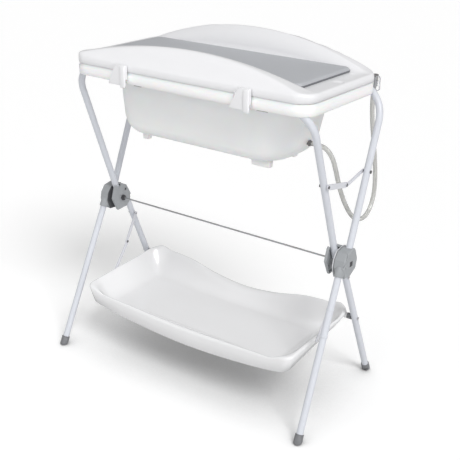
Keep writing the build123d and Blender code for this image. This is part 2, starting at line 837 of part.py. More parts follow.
def bathtub():
    """Bath with a flange that rests on both crossbars and a skirt outside them."""
    bath = extrude(Pos(0, 0, skirt_bottom) * rim_plan(0), rim_skirt_height)
    bath -= extrude(Pos(0, 0, skirt_bottom - overrun) * rim_plan(rim_thickness),
                    rim_skirt_height - rim_thickness + overrun)
    notch_height = flange_bottom - seat_gap
    for side in (-1, 1):
        x_range = sorted((side * (rim_half_length - arm_notch_width), side * (rim_half_length + overrun)))
        bath -= block(x_range, (rim_half_width - arm_notch_reach, rim_arc_edge + overrun),
                      (skirt_bottom - overrun, notch_height))
    bath += bath_body(0)
    for piece in bath_ears():
        bath += piece
    bath -= bath_body(bath_wall)
    bath -= floor_space()
    bath -= cylinder_x(0, bath_right_length + overrun, 0, drain_height,
                       drain_outer_diameter + 2 * seat_gap)
    for side in (-1, 1):
        hinge_reach = hinge_knuckle_length / 2 + hinge_ear_thickness + overrun
        bath -= cylinder_x(side * hinge_place - hinge_reach, side * hinge_place + hinge_reach, hinge_axis(),
                           flange_top, hinge_pin_diameter)
        latch_reach = latch_width / 2
        bath -= cylinder_x(side * latch_place - latch_reach, side * latch_place + latch_reach, latch_axis(),
                           latch_pivot_height, latch_pin_diameter)
    return bath


drain_inside = drain_wall(
    drain_height - drain_flange_diameter / 2, bath_wall) - seat_gap - drain_flange_thickness
drain_nut_start = drain_wall(drain_height + drain_nut_flats / 2) + seat_gap + side_gap
drain_end = drain_nut_start + drain_nut_thickness + drain_spout - drain_flange_thickness


def drain_outlet():
    """Outlet pipe with its flange inside the bath and a spout for the hose."""
    pipe = cylinder_x(drain_inside, drain_end, 0, drain_height, drain_outer_diameter)
    pipe += cylinder_x(drain_inside, drain_inside + drain_flange_thickness, 0, drain_height,
                       drain_flange_diameter)
    return pipe - cylinder_x(drain_inside - overrun, drain_end + overrun, 0, drain_height, drain_bore)


def drain_nut():
    """Hex nut that clamps the outlet to the bath's end wall."""
    outline = across(drain_nut_start, 0, drain_height) * RegularPolygon(
        drain_nut_flats / 2, side_count=6, major_radius=False)
    nut = extrude(outline, drain_nut_thickness)
    return nut - cylinder_x(drain_nut_start - overrun, drain_end, 0, drain_height,
                            drain_outer_diameter + 2 * running_gap)


def drain_plug():
    """Stopper in the outlet's mouth, with a pull tab."""
    head_end = drain_inside - seat_gap
    head_start = head_end - plug_head_thickness
    plug = cylinder_x(head_start, head_end, 0, drain_height, plug_head_diameter)
    plug += cylinder_x(head_end, head_end + plug_stem_length, 0, drain_height,
                       drain_bore - 2 * seat_gap)
    plug += block((head_start - plug_tab_height, head_start),
                  (-plug_tab_thickness / 2, plug_tab_thickness / 2),
                  (drain_height - plug_head_diameter / 3, drain_height + plug_head_diameter / 3))
    return plug


# Hose

def hose_route():
    """Route of the drain hose from the spout to its end in the holder."""
    return [(drain_end, 0.0, drain_height)] + hose_points + [hose_top]


def hose_radii(points):
    """Bend radius at each inner point, from the shorter of its two runs and its turn."""
    radii = []
    for before, here, after in zip(points, points[1:], points[2:]):
        first = Vector(*here) - Vector(*before)
        second = Vector(*after) - Vector(*here)
        turn = radians(first.get_angle(second))
        radii.append(hose_bend_share * min(first.length, second.length) / tan(turn / 2))
    return radii


def drain_hose():
    """Hose from the outlet, hanging in a loop and held up behind the rim."""
    points = hose_route()
    radii = hose_radii(points)
    print("hose radii", [round(radius, 1) for radius in radii])
    path = FilletPolyline(*points, radius=radii)
    print("hose length", round(path.length, 1))
    hose = sweep(Plane(origin=path @ 0, z_dir=path % 0) * Circle(hose_diameter / 2), path=path)
    section = Circle(hose_diameter / 2).area
    print("hose volume over section times length", round(hose.volume / (section * path.length), 4))
    return hose


def hose_direction():
    """Way the hose points where it ends."""
    return (Vector(*hose_top) - Vector(*hose_points[-1])).normalized()


def hose_cap():
    """End fitting of the hose, over its last few millimetres."""
    direction = hose_direction()
    end = Vector(*hose_top)
    start = end + direction * running_gap
    tip = start + direction * hose_cap_length
    return bar_between(start, tip, hose_diameter + 2 * hose_cap_wall,
                       hose_diameter - 4 * hose_cap_wall)


def holder_eye(back):
    """Upright eye at the right of the holder, that the loop of the hose can be tied to."""
    face = Plane(origin=(holder_eye_place, back + holder_thickness, flange_top - holder_eye_drop),
                 x_dir=(0, 0, 1), z_dir=(0, -1, 0))
    eye = SlotCenterToCenter(holder_eye_length, holder_eye_width)
    eye -= SlotCenterToCenter(holder_eye_length, holder_eye_width - 2 * holder_eye_wall)
    return extrude(face * eye, holder_thickness)


def hose_holder():
    """Plate with a ring and an eye behind the rim's rear right corner, for the end of the hose."""
    back = rim_arc_edge + seat_gap - rim_bulge / 2
    web_place = holder_left + holder_thickness
    web_root = side_edge(rim_half_length - rim_corner) - rim_corner + sqrt(
        rim_corner ** 2 - (holder_left - rim_half_length + rim_corner) ** 2)
    direction = hose_direction()
    ring_top = Vector(*hose_top) - direction * side_gap
    ring_low = ring_top - direction * holder_ring_length
    ring_bore = hose_diameter + 2 * seat_gap
    holder = block((holder_left, holder_right), (back, back + holder_thickness),
                   (skirt_bottom, flange_top + holder_top_rise))
    holder += block((holder_left, web_place), (web_root + seat_gap, back + holder_thickness),
                    (skirt_bottom, flange_top))
    holder += bar_between(ring_low, ring_top, ring_bore + 2 * holder_ring_wall)
    holder += holder_eye(back)
    holder -= bar_between(ring_low - direction * 2 * overrun, ring_top + direction * overrun, ring_bore)
    holder -= bar_between(hose_points[-2], hose_points[-1], ring_bore)
    return holder - bar_between(hose_top, Vector(*hose_top) + direction * 2 * overrun,
                                hose_diameter + 2 * hose_cap_wall + 2 * seat_gap)


# Changing top

def crest_arc(height, inset):
    """Arched body, seen from the front, that limits a long wall of the changing top."""
    low = deck_height - crest_end_drop - inset
    high = height - inset
    half = crest_half_chord - inset
    wide = rim_arc_edge + overrun
    arc = ThreePointArc((-half, -wide, low), (0, -wide, high), (half, -wide, low))
    base = top_base - 2 * overrun
    sides = [Line(arc @ 1, (half, -wide, base)), Line((half, -wide, base), (-half, -wide, base)),
             Line((-half, -wide, base), arc @ 0)]
    return extrude(Face(Wire([arc] + sides)), 2 * wide, dir=(0, 1, 0))


def wall_profile(crest_place, crest_height, foot_place, inset):
    """Long wall of the changing top, leaning in from the rim's edge to its crest."""
    side = 1 if crest_place > 0 else -1
    outside = rim_arc_edge
    shoulder = top_base + top_shoulder
    inward = crest_place - side * crest_width / 2
    outward = crest_place + side * crest_width / 2
    base = top_base - overrun
    points = [(side * outside, base), (side * outside, shoulder), (outward, crest_height),
              (inward, crest_height), (foot_place, deck_height), (foot_place, base)]
    profile = across(-rim_half_length, 0, 0) * make_face(Polyline(*points, close=True))
    if inset > 0:
        profile = offset(profile, -inset)
    return extrude(profile, 2 * rim_half_length)


def top_form(inset):
    """Outer form of the changing top, moved inwards by a wall thickness for its hollow."""
    base = top_base if inset == 0 else top_base - overrun
    plan = extrude(Pos(0, 0, base) * rim_plan(inset), rear_crest_height - base + overrun)
    form = extrude(Pos(0, 0, base) * rim_plan(inset), deck_height - inset - base)
    form = fillet(form.faces().sort_by(Axis.Z)[-1].edges(), top_edge_round - inset)
    walls = ((-front_crest_reach, front_crest_height, -front_wall_foot),
             (rear_crest_reach, rear_crest_height, rear_wall_foot))
    for place, height, foot_place in walls:
        wall = wall_profile(place, height, foot_place, inset) & crest_arc(height, inset) & plan
        form += wall
    return form


def changing_top():
    """Hollow lid with an arched wall along each long side and a flat deck for the mat."""
    top = top_form(0) - top_form(top_wall)
    top -= Pos(recess_place, 0, deck_height + recess_depth / 2) * Cylinder(recess_diameter / 2,
                                                                           2 * recess_depth)
    for side in (-1, 1):
        middle = side * hinge_place
        x_range = (middle - hinge_knuckle_length / 2, middle + hinge_knuckle_length / 2)
        root = (side_edge(hinge_place) - top_wall / 2,
                (top_base, top_base + hinge_knuckle_diameter / 2))
        knuckle = ear(x_range, hinge_axis(), flange_top, hinge_knuckle_diameter, root)
        knuckle -= block((middle - hinge_knuckle_length, middle + hinge_knuckle_length),
                         (0, side_edge(hinge_place + hinge_knuckle_length) + side_gap),
                         (flange_top - overrun, top_base))
        knuckle -= cylinder_x(middle - hinge_knuckle_length, middle + hinge_knuckle_length, hinge_axis(),
                              flange_top, hinge_pin_diameter + 2 * running_gap)
        top += knuckle
    return top


def changing_mat():
    """Padded mat on the deck, with rounded corners and edges."""
    front = mat_side_gap - front_wall_foot
    rear = rear_wall_foot - mat_side_gap
    plan = Pos((mat_right_reach - mat_left_reach) / 2, (front + rear) / 2, mat_base) * RectangleRounded(
        mat_right_reach + mat_left_reach, rear - front, mat_corner)
    pad = extrude(plan, mat_thickness)
    return fillet(pad.faces().sort_by(Axis.Z)[-1].edges(), mat_edge_round)


def hinge_pins():
    """One pin through each rear hinge."""
    length = hinge_knuckle_length / 2 + seat_gap + hinge_ear_thickness
    return Compound(children=[
        part_solid(cylinder_x(side * hinge_place - length, side * hinge_place + length, hinge_axis(),
                              flange_top, hinge_pin_diameter)) for side in (-1, 1)])


# Latches

def latch():
    """Right front latch: a flap in front of its pin, with a rib down its right edge and a lip on top."""
    axis = latch_axis()
    back = axis - latch_barrel_diameter / 2 - seat_gap
    front = back - latch_thickness
    low = latch_pivot_height - latch_tail
    top = low + latch_height
    half = latch_width / 2
    right = latch_place + half
    points = [(latch_width * along_share - half, low + latch_height * up_share)
              for along_share, up_share in latch_outline_shares]
    outline = Plane(origin=(latch_place, back, 0), x_dir=(1, 0, 0), z_dir=(0, -1, 0)) * make_face(
        Polyline(*points, close=True))
    flap = extrude(outline, latch_thickness)
    flap += block((right - latch_rib_width, right), (front - latch_rib_height, front + side_gap),
                  (low - latch_rib_drop, top))
    flap += block((latch_place, right), (back - side_gap, -rim_arc_edge - side_gap),
                  (top - latch_lip_height, top))
    barrel = half - latch_side_inset
    flap += cylinder_x(latch_place - barrel, latch_place + barrel, axis, latch_pivot_height,
                       latch_barrel_diameter)
    flap += block((latch_place - barrel, latch_place + barrel), (back - side_gap, axis),
                  (latch_pivot_height - latch_barrel_diameter / 4, latch_pivot_height
                   + latch_barrel_diameter / 4))
    return flap - cylinder_x(latch_place - latch_width, latch_place + latch_width, axis,
                             latch_pivot_height, latch_pin_diameter + 2 * running_gap)


def left_latch():
    """The left latch, the same way round as the right one."""
    return Pos(-2 * latch_place, 0, 0) * latch()


def latch_pins():
    """One pin through each front latch."""
    length = latch_width / 2 - latch_side_inset + seat_gap + latch_ear_thickness
    return Compound(children=[
        part_solid(cylinder_x(side * latch_place - length, side * latch_place + length, latch_axis(),
                              latch_pivot_height, latch_pin_diameter)) for side in (-1, 1)])


# Whole table

def both_ends(nodes, name, piece):
    """Adds a piece as a right node and a left node."""
    nodes[name + "_right"] = piece
    nodes[name + "_left"] = left_of(piece)


def frame_nodes(nodes):
    """Tubes, feet, hubs and everything that joins them."""
    outer = upper_frame(outer_hub_span, outer_top_span, crossbar_reach, rear_bend_radius)
    inner = upper_frame(inner_hub_span, inner_top_span, -crossbar_reach, front_bend_radius)
    lock_place = arm_span(lock_pivot_height, outer_hub_span, outer_top_span)
    nodes["outer_upper_frame"] = pin_holes(outer, lock_place, [(lock_rear_pivot, stay_pin_diameter)])
    lock_place = arm_span(lock_pivot_height, inner_hub_span, inner_top_span)
    nodes["inner_upper_frame"] = pin_holes(inner, lock_place, [(lock_front_pivot, stay_pin_diameter)])
    both_ends(nodes, "front_leg", leg(outer_hub_span, outer_foot_span, -1))
    rear = pin_holes(leg(inner_hub_span, inner_foot_span, 1), inner_hub_span,
                     [(shelf_pivot, shelf_pin_diameter), (shelf_stay_top, stay_pin_diameter)])
    both_ends(nodes, "rear_leg", rear)
    both_ends(nodes, "front_foot", foot_cap(outer_hub_span, outer_foot_span, -1))
    both_ends(nodes, "rear_foot", foot_cap(inner_hub_span, inner_foot_span, 1))
    both_ends(nodes, "outer_hub", outer_hub())
    both_ends(nodes, "inner_hub", inner_hub())
    both_ends(nodes, "hub_liner", hub_liner())
    both_ends(nodes, "pivot_bolt", pivot_bolt())
    nodes["tie_rod"] = tie_rod()
    nodes["outer_hub_screws"] = hub_screws(outer_hub_end, True)
    nodes["inner_hub_screws"] = hub_screws(inner_cup_face, False)


def stay_nodes(nodes):
    """Lock stay between the right arms, and a folding stay at each end of the shelf."""
    nodes["lock_stay_front"] = lock_front_link()
    nodes["lock_stay_rear"] = lock_rear_link()
    nodes["lock_stay_rivet"] = lock_knee_rivet()
    inner_outside = inner_arm_face - tube_diameter - side_gap
    nodes["lock_stay_front_pin"] = lock_pin(inner_outside, lock_front_start + lock_link_thickness,
                                            lock_front_pivot)
    outer_outside = outer_arm_face + tube_diameter + side_gap
    nodes["lock_stay_rear_pin"] = lock_pin(outer_outside, lock_rear_start, lock_rear_pivot)
    both_ends(nodes, "shelf_stay_upper", shelf_top_link())
    both_ends(nodes, "shelf_stay_lower", shelf_low_link())
    both_ends(nodes, "shelf_stay_rivet", shelf_knee_rivet())
    both_ends(nodes, "shelf_stay_top_pin", shelf_top_pin())
    both_ends(nodes, "shelf_stay_low_pin", shelf_low_pin())


def shelf_nodes(nodes):
    """Tray with its bushes and pivot pins."""
    nodes["shelf_tray"] = shelf_tray()
    both_ends(nodes, "shelf_bush", shelf_bush())
    both_ends(nodes, "shelf_pivot_pin", shelf_pin())


def bath_nodes(nodes):
    """Bath, its drain and hose, the changing top and what holds them together."""
    nodes["bathtub"] = bathtub()
    nodes["bath_floor"] = bath_floor()
    nodes["drain_outlet"] = drain_outlet()
    nodes["drain_nut"] = drain_nut()
    nodes["drain_plug"] = drain_plug()
    nodes["drain_hose"] = drain_hose()
    nodes["hose_cap"] = hose_cap()
    nodes["hose_holder"] = hose_holder()
    nodes["changing_top"] = changing_top()
    nodes["changing_mat"] = changing_mat()
    nodes["hinge_pins"] = hinge_pins()
    nodes["latch_right"] = latch()
    nodes["latch_left"] = left_latch()
    nodes["latch_pins"] = latch_pins()


def all_nodes():
    """Every node of the table, by name."""
    nodes = {}
    frame_nodes(nodes)
    stay_nodes(nodes)
    shelf_nodes(nodes)
    bath_nodes(nodes)
    return nodes


def write_parts():
    """Writes one STEP file per node."""
    os.makedirs("parts", exist_ok=True)
    for name, piece in all_nodes().items():
        export_step(piece, "parts/" + name + ".step")
        print(name, len(piece.solids()))


write_parts()
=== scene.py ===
"""Folding changing table with a bath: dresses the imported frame, part by part, and sets it on a pale floor."""
import math

import bmesh
import bpy
from mathutils import Matrix, Vector


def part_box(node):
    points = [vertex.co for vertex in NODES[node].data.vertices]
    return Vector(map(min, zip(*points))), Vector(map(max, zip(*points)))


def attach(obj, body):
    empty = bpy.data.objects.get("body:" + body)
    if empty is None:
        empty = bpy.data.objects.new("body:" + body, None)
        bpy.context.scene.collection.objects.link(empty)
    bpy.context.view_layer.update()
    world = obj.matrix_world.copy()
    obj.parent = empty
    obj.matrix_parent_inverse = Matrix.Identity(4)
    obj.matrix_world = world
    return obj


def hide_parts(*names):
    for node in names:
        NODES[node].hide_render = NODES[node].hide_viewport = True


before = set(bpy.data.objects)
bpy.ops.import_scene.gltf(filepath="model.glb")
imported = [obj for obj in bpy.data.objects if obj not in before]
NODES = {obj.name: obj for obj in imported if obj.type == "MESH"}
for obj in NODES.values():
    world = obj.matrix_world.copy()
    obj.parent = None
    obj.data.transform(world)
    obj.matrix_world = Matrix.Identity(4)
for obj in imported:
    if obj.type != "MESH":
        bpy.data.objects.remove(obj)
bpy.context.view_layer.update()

bl_info = {
    "name": "Folding changing table",
    "version": (1, 0, 0),
    "blender": (4, 5, 0),
    "location": "View3D > Sidebar > Changing table",
    "description": "Builds the coverings, finishes and stage of a folding changing table with a bath",
    "category": "Object",
}

SIDES = ("right", "left")
ENDS = (("right", 1), ("left", -1))
FINISHES = {}
MM = 0.001

# Sizes and places that several pieces share, in metres
WALL = 0.003
PIVOT_HEIGHT = 0.44
HUB_OFFSET, FOOT_OFFSET, LEG_REACH = 0.0268, 0.2265, 0.1997
OUTER_HUB_SPAN, OUTER_FOOT_SPAN, LEG_SPLAY = 0.418, 0.432, 0.014
INNER_HUB_SPAN, INNER_FOOT_SPAN = 0.387, 0.395
HINGE_SPAN = 0.2
REAR_HINGE, LATCH_HINGE = (0.191873, 0.8928), (-0.190338, 0.8678)


def srgb(red, green, blue):
    """Linear colour of three display values from 0 to 255."""
    def linear(value):
        value /= 255
        return value / 12.92 if value <= 0.04045 else ((value + 0.055) / 1.055) ** 2.4
    return (linear(red), linear(green), linear(blue))


# Settings

class PaintSettings(bpy.types.PropertyGroup):
    """Finishes of the metal frame and its fittings."""
    tube_colour: bpy.props.FloatVectorProperty(
        name="Tube colour", description="Powder coat of the frame tubes", subtype="COLOR", size=3,
        default=srgb(213, 216, 223), min=0, max=1)
    stay_colour: bpy.props.FloatVectorProperty(
        name="Stay colour", description="Paint of the flat stays", subtype="COLOR", size=3,
        default=srgb(216, 217, 223), min=0, max=1)
    hub_colour: bpy.props.FloatVectorProperty(
        name="Hub colour", description="Moulded plastic of the hubs", subtype="COLOR", size=3,
        default=srgb(162, 165, 168), min=0, max=1)
    rubber_colour: bpy.props.FloatVectorProperty(
        name="Foot colour", description="Rubber of the feet", subtype="COLOR", size=3,
        default=srgb(122, 123, 126), min=0, max=1)


class PlasticSettings(bpy.types.PropertyGroup):
    """Finishes of the bath, its top and the shelf."""
    top_colour: bpy.props.FloatVectorProperty(
        name="Top colour", description="Plastic of the changing top", subtype="COLOR", size=3,
        default=srgb(238, 238, 240), min=0, max=1)
    bath_colour: bpy.props.FloatVectorProperty(
        name="Bath colour", description="Plastic of the bath", subtype="COLOR", size=3,
        default=srgb(246, 246, 246), min=0, max=1)
    shelf_colour: bpy.props.FloatVectorProperty(
        name="Shelf colour", description="Plastic of the shelf", subtype="COLOR", size=3,
        default=srgb(238, 238, 239), min=0, max=1)
    mat_colour: bpy.props.FloatVectorProperty(
        name="Mat colour", description="Foam skin of the changing mat", subtype="COLOR", size=3,
        default=srgb(180, 182, 186), min=0, max=1)
    hose_colour: bpy.props.FloatVectorProperty(
        name="Hose colour", description="Vinyl of the drain hose", subtype="COLOR", size=3,
        default=srgb(214, 214, 211), min=0, max=1)


class HoseSettings(bpy.types.PropertyGroup):
    """Sizes of the drain hose."""
    diameter: bpy.props.FloatProperty(
        name="Diameter", description="Outer diameter of the drain hose", default=0.0126, unit="LENGTH")
    length: bpy.props.FloatProperty(
        name="Length", description="Length of the drain hose", default=0.806, unit="LENGTH")


class MatSettings(bpy.types.PropertyGroup):
    """Sizes of the changing mat."""
    crown: bpy.props.FloatProperty(
        name="Crown", description="How much the middle of the mat swells", default=0.0035, unit="LENGTH")
    side_pull: bpy.props.FloatProperty(
        name="Side pull", description="How far the sides draw in between the corners", default=0.0016,
        unit="LENGTH")
    edge_round: bpy.props.FloatProperty(
        name="Edge round", description="Radius of the mat's upper edge", default=0.0095, unit="LENGTH")


class StageSettings(bpy.types.PropertyGroup):
    """Floor and lamps."""
    main_level: bpy.props.FloatProperty(
        name="Main lamp", description="Level of the soft lamp at the right", default=1.62, subtype="FACTOR")
    front_level: bpy.props.FloatProperty(
        name="Front lamp", description="Power of the wide lamp in front", default=6.4)
    side_level: bpy.props.FloatProperty(
        name="Side lamp", description="Level of the low soft lamp at the right", default=0.22, subtype="FACTOR")
    world_level: bpy.props.FloatProperty(
        name="World level", description="Level of the even light from all round", default=0.54, subtype="FACTOR")


# Node helpers

def add_node(tree, kind, inputs=None, **settings):
    """A node of a kind, with settings as attributes, and inputs that are values or sockets to link to."""
    node = tree.nodes.new(kind)
    for name, value in settings.items():
        setattr(node, name, value)
    for name, value in (inputs or {}).items():
        if isinstance(value, bpy.types.NodeSocket):
            tree.links.new(value, node.inputs[name])
        else:
            node.inputs[name].default_value = value
    return node


def empty_tree(owner):
    """Node tree of a material or world, without its first nodes."""
    owner.use_nodes = True
    owner.node_tree.nodes.clear()
    return owner.node_tree


def skin_group():
    """Fine surface of a moulding: grain and slow waviness as a normal over softened edges, and a tint mask."""
    name = "moulded_skin"
    if name in bpy.data.node_groups:
        return bpy.data.node_groups[name]
    tree = bpy.data.node_groups.new(name, "ShaderNodeTree")
    face = tree.interface
    for label, value in (("Grain Size", 900.0), ("Grain Depth", 0.1), ("Wave Size", 9.0), ("Wave Depth", 0.2),
                         ("Edge Radius", 0.001)):
        face.new_socket(label, in_out="INPUT", socket_type="NodeSocketFloat").default_value = value
    for label, kind in (("Normal", "Vector"), ("Tint", "Float"), ("Edge", "Float")):
        face.new_socket(label, in_out="OUTPUT", socket_type=f"NodeSocket{kind}")
    sizes = add_node(tree, "NodeGroupInput").outputs
    place = add_node(tree, "ShaderNodeTexCoord").outputs["Object"]
    grain = add_node(tree, "ShaderNodeTexNoise", {"Vector": place, "Scale": sizes["Grain Size"], "Detail": 2.0})
    wave = add_node(tree, "ShaderNodeTexNoise", {"Vector": place, "Scale": sizes["Wave Size"], "Detail": 3.0,
                                                 "Roughness": 0.6})
    soft = add_node(tree, "ShaderNodeBevel", {"Radius": sizes["Edge Radius"]}, samples=6)
    wide = add_node(tree, "ShaderNodeBump", {"Distance": 0.004, "Strength": sizes["Wave Depth"],
                                             "Height": wave.outputs["Fac"], "Normal": soft.outputs["Normal"]})
    fine = add_node(tree, "ShaderNodeBump", {"Distance": 0.0003, "Strength": sizes["Grain Depth"],
                                             "Height": grain.outputs["Fac"], "Normal": wide.outputs["Normal"]})
    flat = add_node(tree, "ShaderNodeNewGeometry")
    match = add_node(tree, "ShaderNodeVectorMath", {0: soft.outputs["Normal"], 1: flat.outputs["Normal"]},
                     operation="DOT_PRODUCT")
    edge = add_node(tree, "ShaderNodeMapRange", {"Value": match.outputs["Value"], "From Min": 0.995,
                                                 "From Max": 0.86, "To Min": 0.0, "To Max": 1.0})
    add_node(tree, "NodeGroupOutput", {"Normal": fine.outputs["Normal"], "Tint": wave.outputs["Fac"],
                                       "Edge": edge.outputs["Result"]})
    return tree


def lighter(colour, share):
    """A colour made lighter by a share of itself, or darker by a negative share."""
    return (*[min(1, max(0, part * (1 + share))) for part in colour], 1)


def finish(name, colour, roughness, *, grain=(900.0, 0.1), wave=(9.0, 0.1), edge=0.0008, tint=0.03,
           edge_tint=0.0, **shader):
    """Material of one moulded, painted or plated finish, with grain, slow mottling, and its colour made lighter or
    darker near edges by edge_tint.
    """
    if name in FINISHES:
        return FINISHES[name]
    material = FINISHES[name] = bpy.data.materials.new(f"{name}_finish")
    tree = empty_tree(material)
    skin = add_node(tree, "ShaderNodeGroup", node_tree=skin_group())
    for label, value in zip(("Grain Size", "Grain Depth", "Wave Size", "Wave Depth", "Edge Radius"),
                            (*grain, *wave, edge)):
        skin.inputs[label].default_value = value
    shade = add_node(tree, "ShaderNodeMix", {
        "Factor": skin.outputs["Tint"], "A": lighter(colour, -tint), "B": lighter(colour, tint)}, data_type="RGBA")
    rub = add_node(tree, "ShaderNodeMix", {
        "Factor": skin.outputs["Edge"], "A": shade.outputs["Result"], "B": lighter(colour, edge_tint)},
        data_type="RGBA")
    main = add_node(tree, "ShaderNodeBsdfPrincipled", {
        "Base Color": rub.outputs["Result"], "Roughness": roughness, "Normal": skin.outputs["Normal"],
        **{label.replace("_", " "): value for label, value in shader.items()}})
    add_node(tree, "ShaderNodeOutputMaterial", {"Surface": main.outputs["BSDF"]})
    return material


def dress(names, material):
    """Gives CAD nodes a finish."""
    for name in names:
        slots = NODES[name].material_slots
        if not slots:
            raise RuntimeError(f"{name} has no material slot")
        for slot in slots:
            slot.material = material


def both_sides(*names):
    """Names of pieces that are there at both ends."""
    return [f"{name}_{side}" for name in names for side in SIDES]


def front_leg_point(end, height):
    """Point at a height on the middle line of a front leg."""
    share = PIVOT_HEIGHT - height
    return Vector((end * (OUTER_HUB_SPAN + LEG_SPLAY * share / PIVOT_HEIGHT),
                   -HUB_OFFSET - LEG_REACH * share / PIVOT_HEIGHT, height))


def new_piece(name, mesh, material, body, stands_for=(), smooth=True):
    """Object of a finished mesh that rides on a body and stands for CAD nodes."""
    piece = bpy.data.objects.new(name, mesh)
    bpy.context.scene.collection.objects.link(piece)
    mesh.materials.clear()
    mesh.materials.append(material)
    if smooth:
        mesh.polygons.foreach_set("use_smooth", [True] * len(mesh.polygons))
    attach(piece, body)
    if stands_for:
        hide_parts(*stands_for)
    return piece


def finished_mesh(work, name):
    """Plain mesh of a bmesh, with faces outward."""
    bmesh.ops.recalc_face_normals(work, faces=work.faces)
    mesh = bpy.data.meshes.new(name)
    work.to_mesh(mesh)
    work.free()
    return mesh


def rounded_outline(left, right, front, rear, corner, steps):
    """Points of a rectangle with round corners, anticlockwise from above."""
    points = []
    for number, (x, y) in enumerate(((right - corner, front + corner), (right - corner, rear - corner),
                                     (left + corner, rear - corner), (left + corner, front + corner))):
        for step in range(steps + 1):
            turn = math.radians(-90 + 90 * number + 90 * step / steps)
            points.append((x + corner * math.cos(turn), y + corner * math.sin(turn)))
    return points


def join_loops(work, below, above):
    """Faces between two loops of as many points."""
    count = len(below)
    for number in range(count):
        following = (number + 1) % count
        work.faces.new((below[number], below[following], above[following], above[number]))


def join_stack(work, loops, closed=True):
    """Faces between each loop and the next, and over both ends where it is closed."""
    for below, above in zip(loops, loops[1:]):
        join_loops(work, below, above)
    if closed:
        work.faces.new(loops[0])
        work.faces.new(loops[-1])


def smooth_max(first, second, blend):
    """The larger of two heights, with a rounded change from one to the other."""
    part = max(blend - abs(first - second), 0) / blend
    return max(first, second) + part * part * blend / 4


def smooth_min(first, second, blend):
    """The smaller of two heights, with a rounded change from one to the other."""
    return -smooth_max(-first, -second, blend)


def inside_distance(x, y, half_x, half_y, corner):
    """Distance in from the edge of a rectangle with round corners, negative outside it."""
    over_x, over_y = abs(x) - (half_x - corner), abs(y) - (half_y - corner)
    return corner - math.hypot(max(over_x, 0), max(over_y, 0)) - min(max(over_x, over_y), 0)


def fine_steps(half, corner, near, wide):
    """Places from -half to half: close together at the ends and wide apart in the middle."""
    places = [half - step for step in near if step < corner]
    count = max(2, round(2 * (half - corner) / wide))
    places += [(half - corner) * (1 - 2 * number / count) for number in range(count + 1)]
    return sorted({round(place, 6) for place in places} | {round(-place, 6) for place in places})


def in_plan(x, y, half_x, half_y, corner):
    """Moves a point of a rectangle into the same rectangle with round corners."""
    over_x, over_y = abs(x) - (half_x - corner), abs(y) - (half_y - corner)
    if over_x <= 0 or over_y <= 0:
        return x, y
    a, b = over_x / corner, over_y / corner
    a, b = a * math.sqrt(1 - b * b / 2), b * math.sqrt(1 - a * a / 2)
    return (math.copysign(half_x - corner + a * corner, x), math.copysign(half_y - corner + b * corner, y))


def grid_faces(work, rows):
    """Faces of a grid of vertices."""
    for below, above in zip(rows, rows[1:]):
        for number in range(len(below) - 1):
            work.faces.new((below[number], below[number + 1], above[number + 1], above[number]))


def inner_rows(work, rows, wall):
    """Copy of a sheet's vertices, moved back from its surface by the thickness of the wall."""
    work.normal_update()
    outward = 1 if rows[len(rows) // 2][len(rows[0]) // 2].normal.z > 0 else -1
    return [[work.verts.new(vert.co - vert.normal * outward * wall) for vert in row] for row in rows]


def grid_edge(rows):
    """Vertices round the edge of a grid, anticlockwise."""
    return (rows[0] + [row[-1] for row in rows[1:]] + rows[-1][-2::-1]
            + [row[0] for row in reversed(rows[1:-1])])


def join_edges(work, outer, loops, inner):
    """Faces from an outer sheet's edge through the loops of its skirt to the inner sheet's edge."""
    for below, above in zip((*loops, inner), (outer, *loops)):
        join_loops(work, below, above)


def edge_drop(inside, radius):
    """How far a rounded upper edge has fallen at a distance in from the outline."""
    return radius - math.sqrt(max(radius ** 2 - max(radius - inside, 0) ** 2, 0))


def add_drum(work, start, end, radius, steps=20, chamfer=0.0004):
    """Closed round bar between two points."""
    start, end = Vector(start), Vector(end)
    turn = (end - start).to_track_quat("Z", "Y")
    length = (end - start).length
    loops = []
    for height, size in ((0, radius - chamfer), (chamfer, radius), (length - chamfer, radius),
                         (length, radius - chamfer)):
        loops.append([work.verts.new(start + turn @ Vector((
            size * math.cos(math.tau * step / steps), size * math.sin(math.tau * step / steps), height)))
            for step in range(steps)])
    join_stack(work, loops)


def soften_edges(work, verts, width, segments, profile):
    """Rounds every edge at some vertices."""
    edges = {edge for vert in verts for edge in vert.link_edges}
    bmesh.ops.bevel(work, geom=list(edges), offset=width, segments=segments, profile=profile, affect="EDGES",
                    clamp_overlap=True)


def add_block(work, low, high, round_edge):
    """Closed box with softened edges."""
    box = bmesh.ops.create_cube(work, size=1)
    for vert in box["verts"]:
        vert.co = Vector(((low[i] + high[i]) / 2 + vert.co[i] * (high[i] - low[i]) for i in range(3)))
    soften_edges(work, box["verts"], round_edge, 3, 0.5)


def add_prism(work, outline, low, high, place, round_edge):
    """Closed prism of an outline between two heights, put in place point by point, with softened edges."""
    loops = [[work.verts.new(place(point[0], point[1], height)) for point in outline] for height in (low, high)]
    work.faces.new(loops[0])
    work.faces.new(loops[1])
    join_loops(work, loops[0], loops[1])
    bmesh.ops.recalc_face_normals(work, faces=work.faces)
    soften_edges(work, loops[0] + loops[1], round_edge, 2, 0.6)


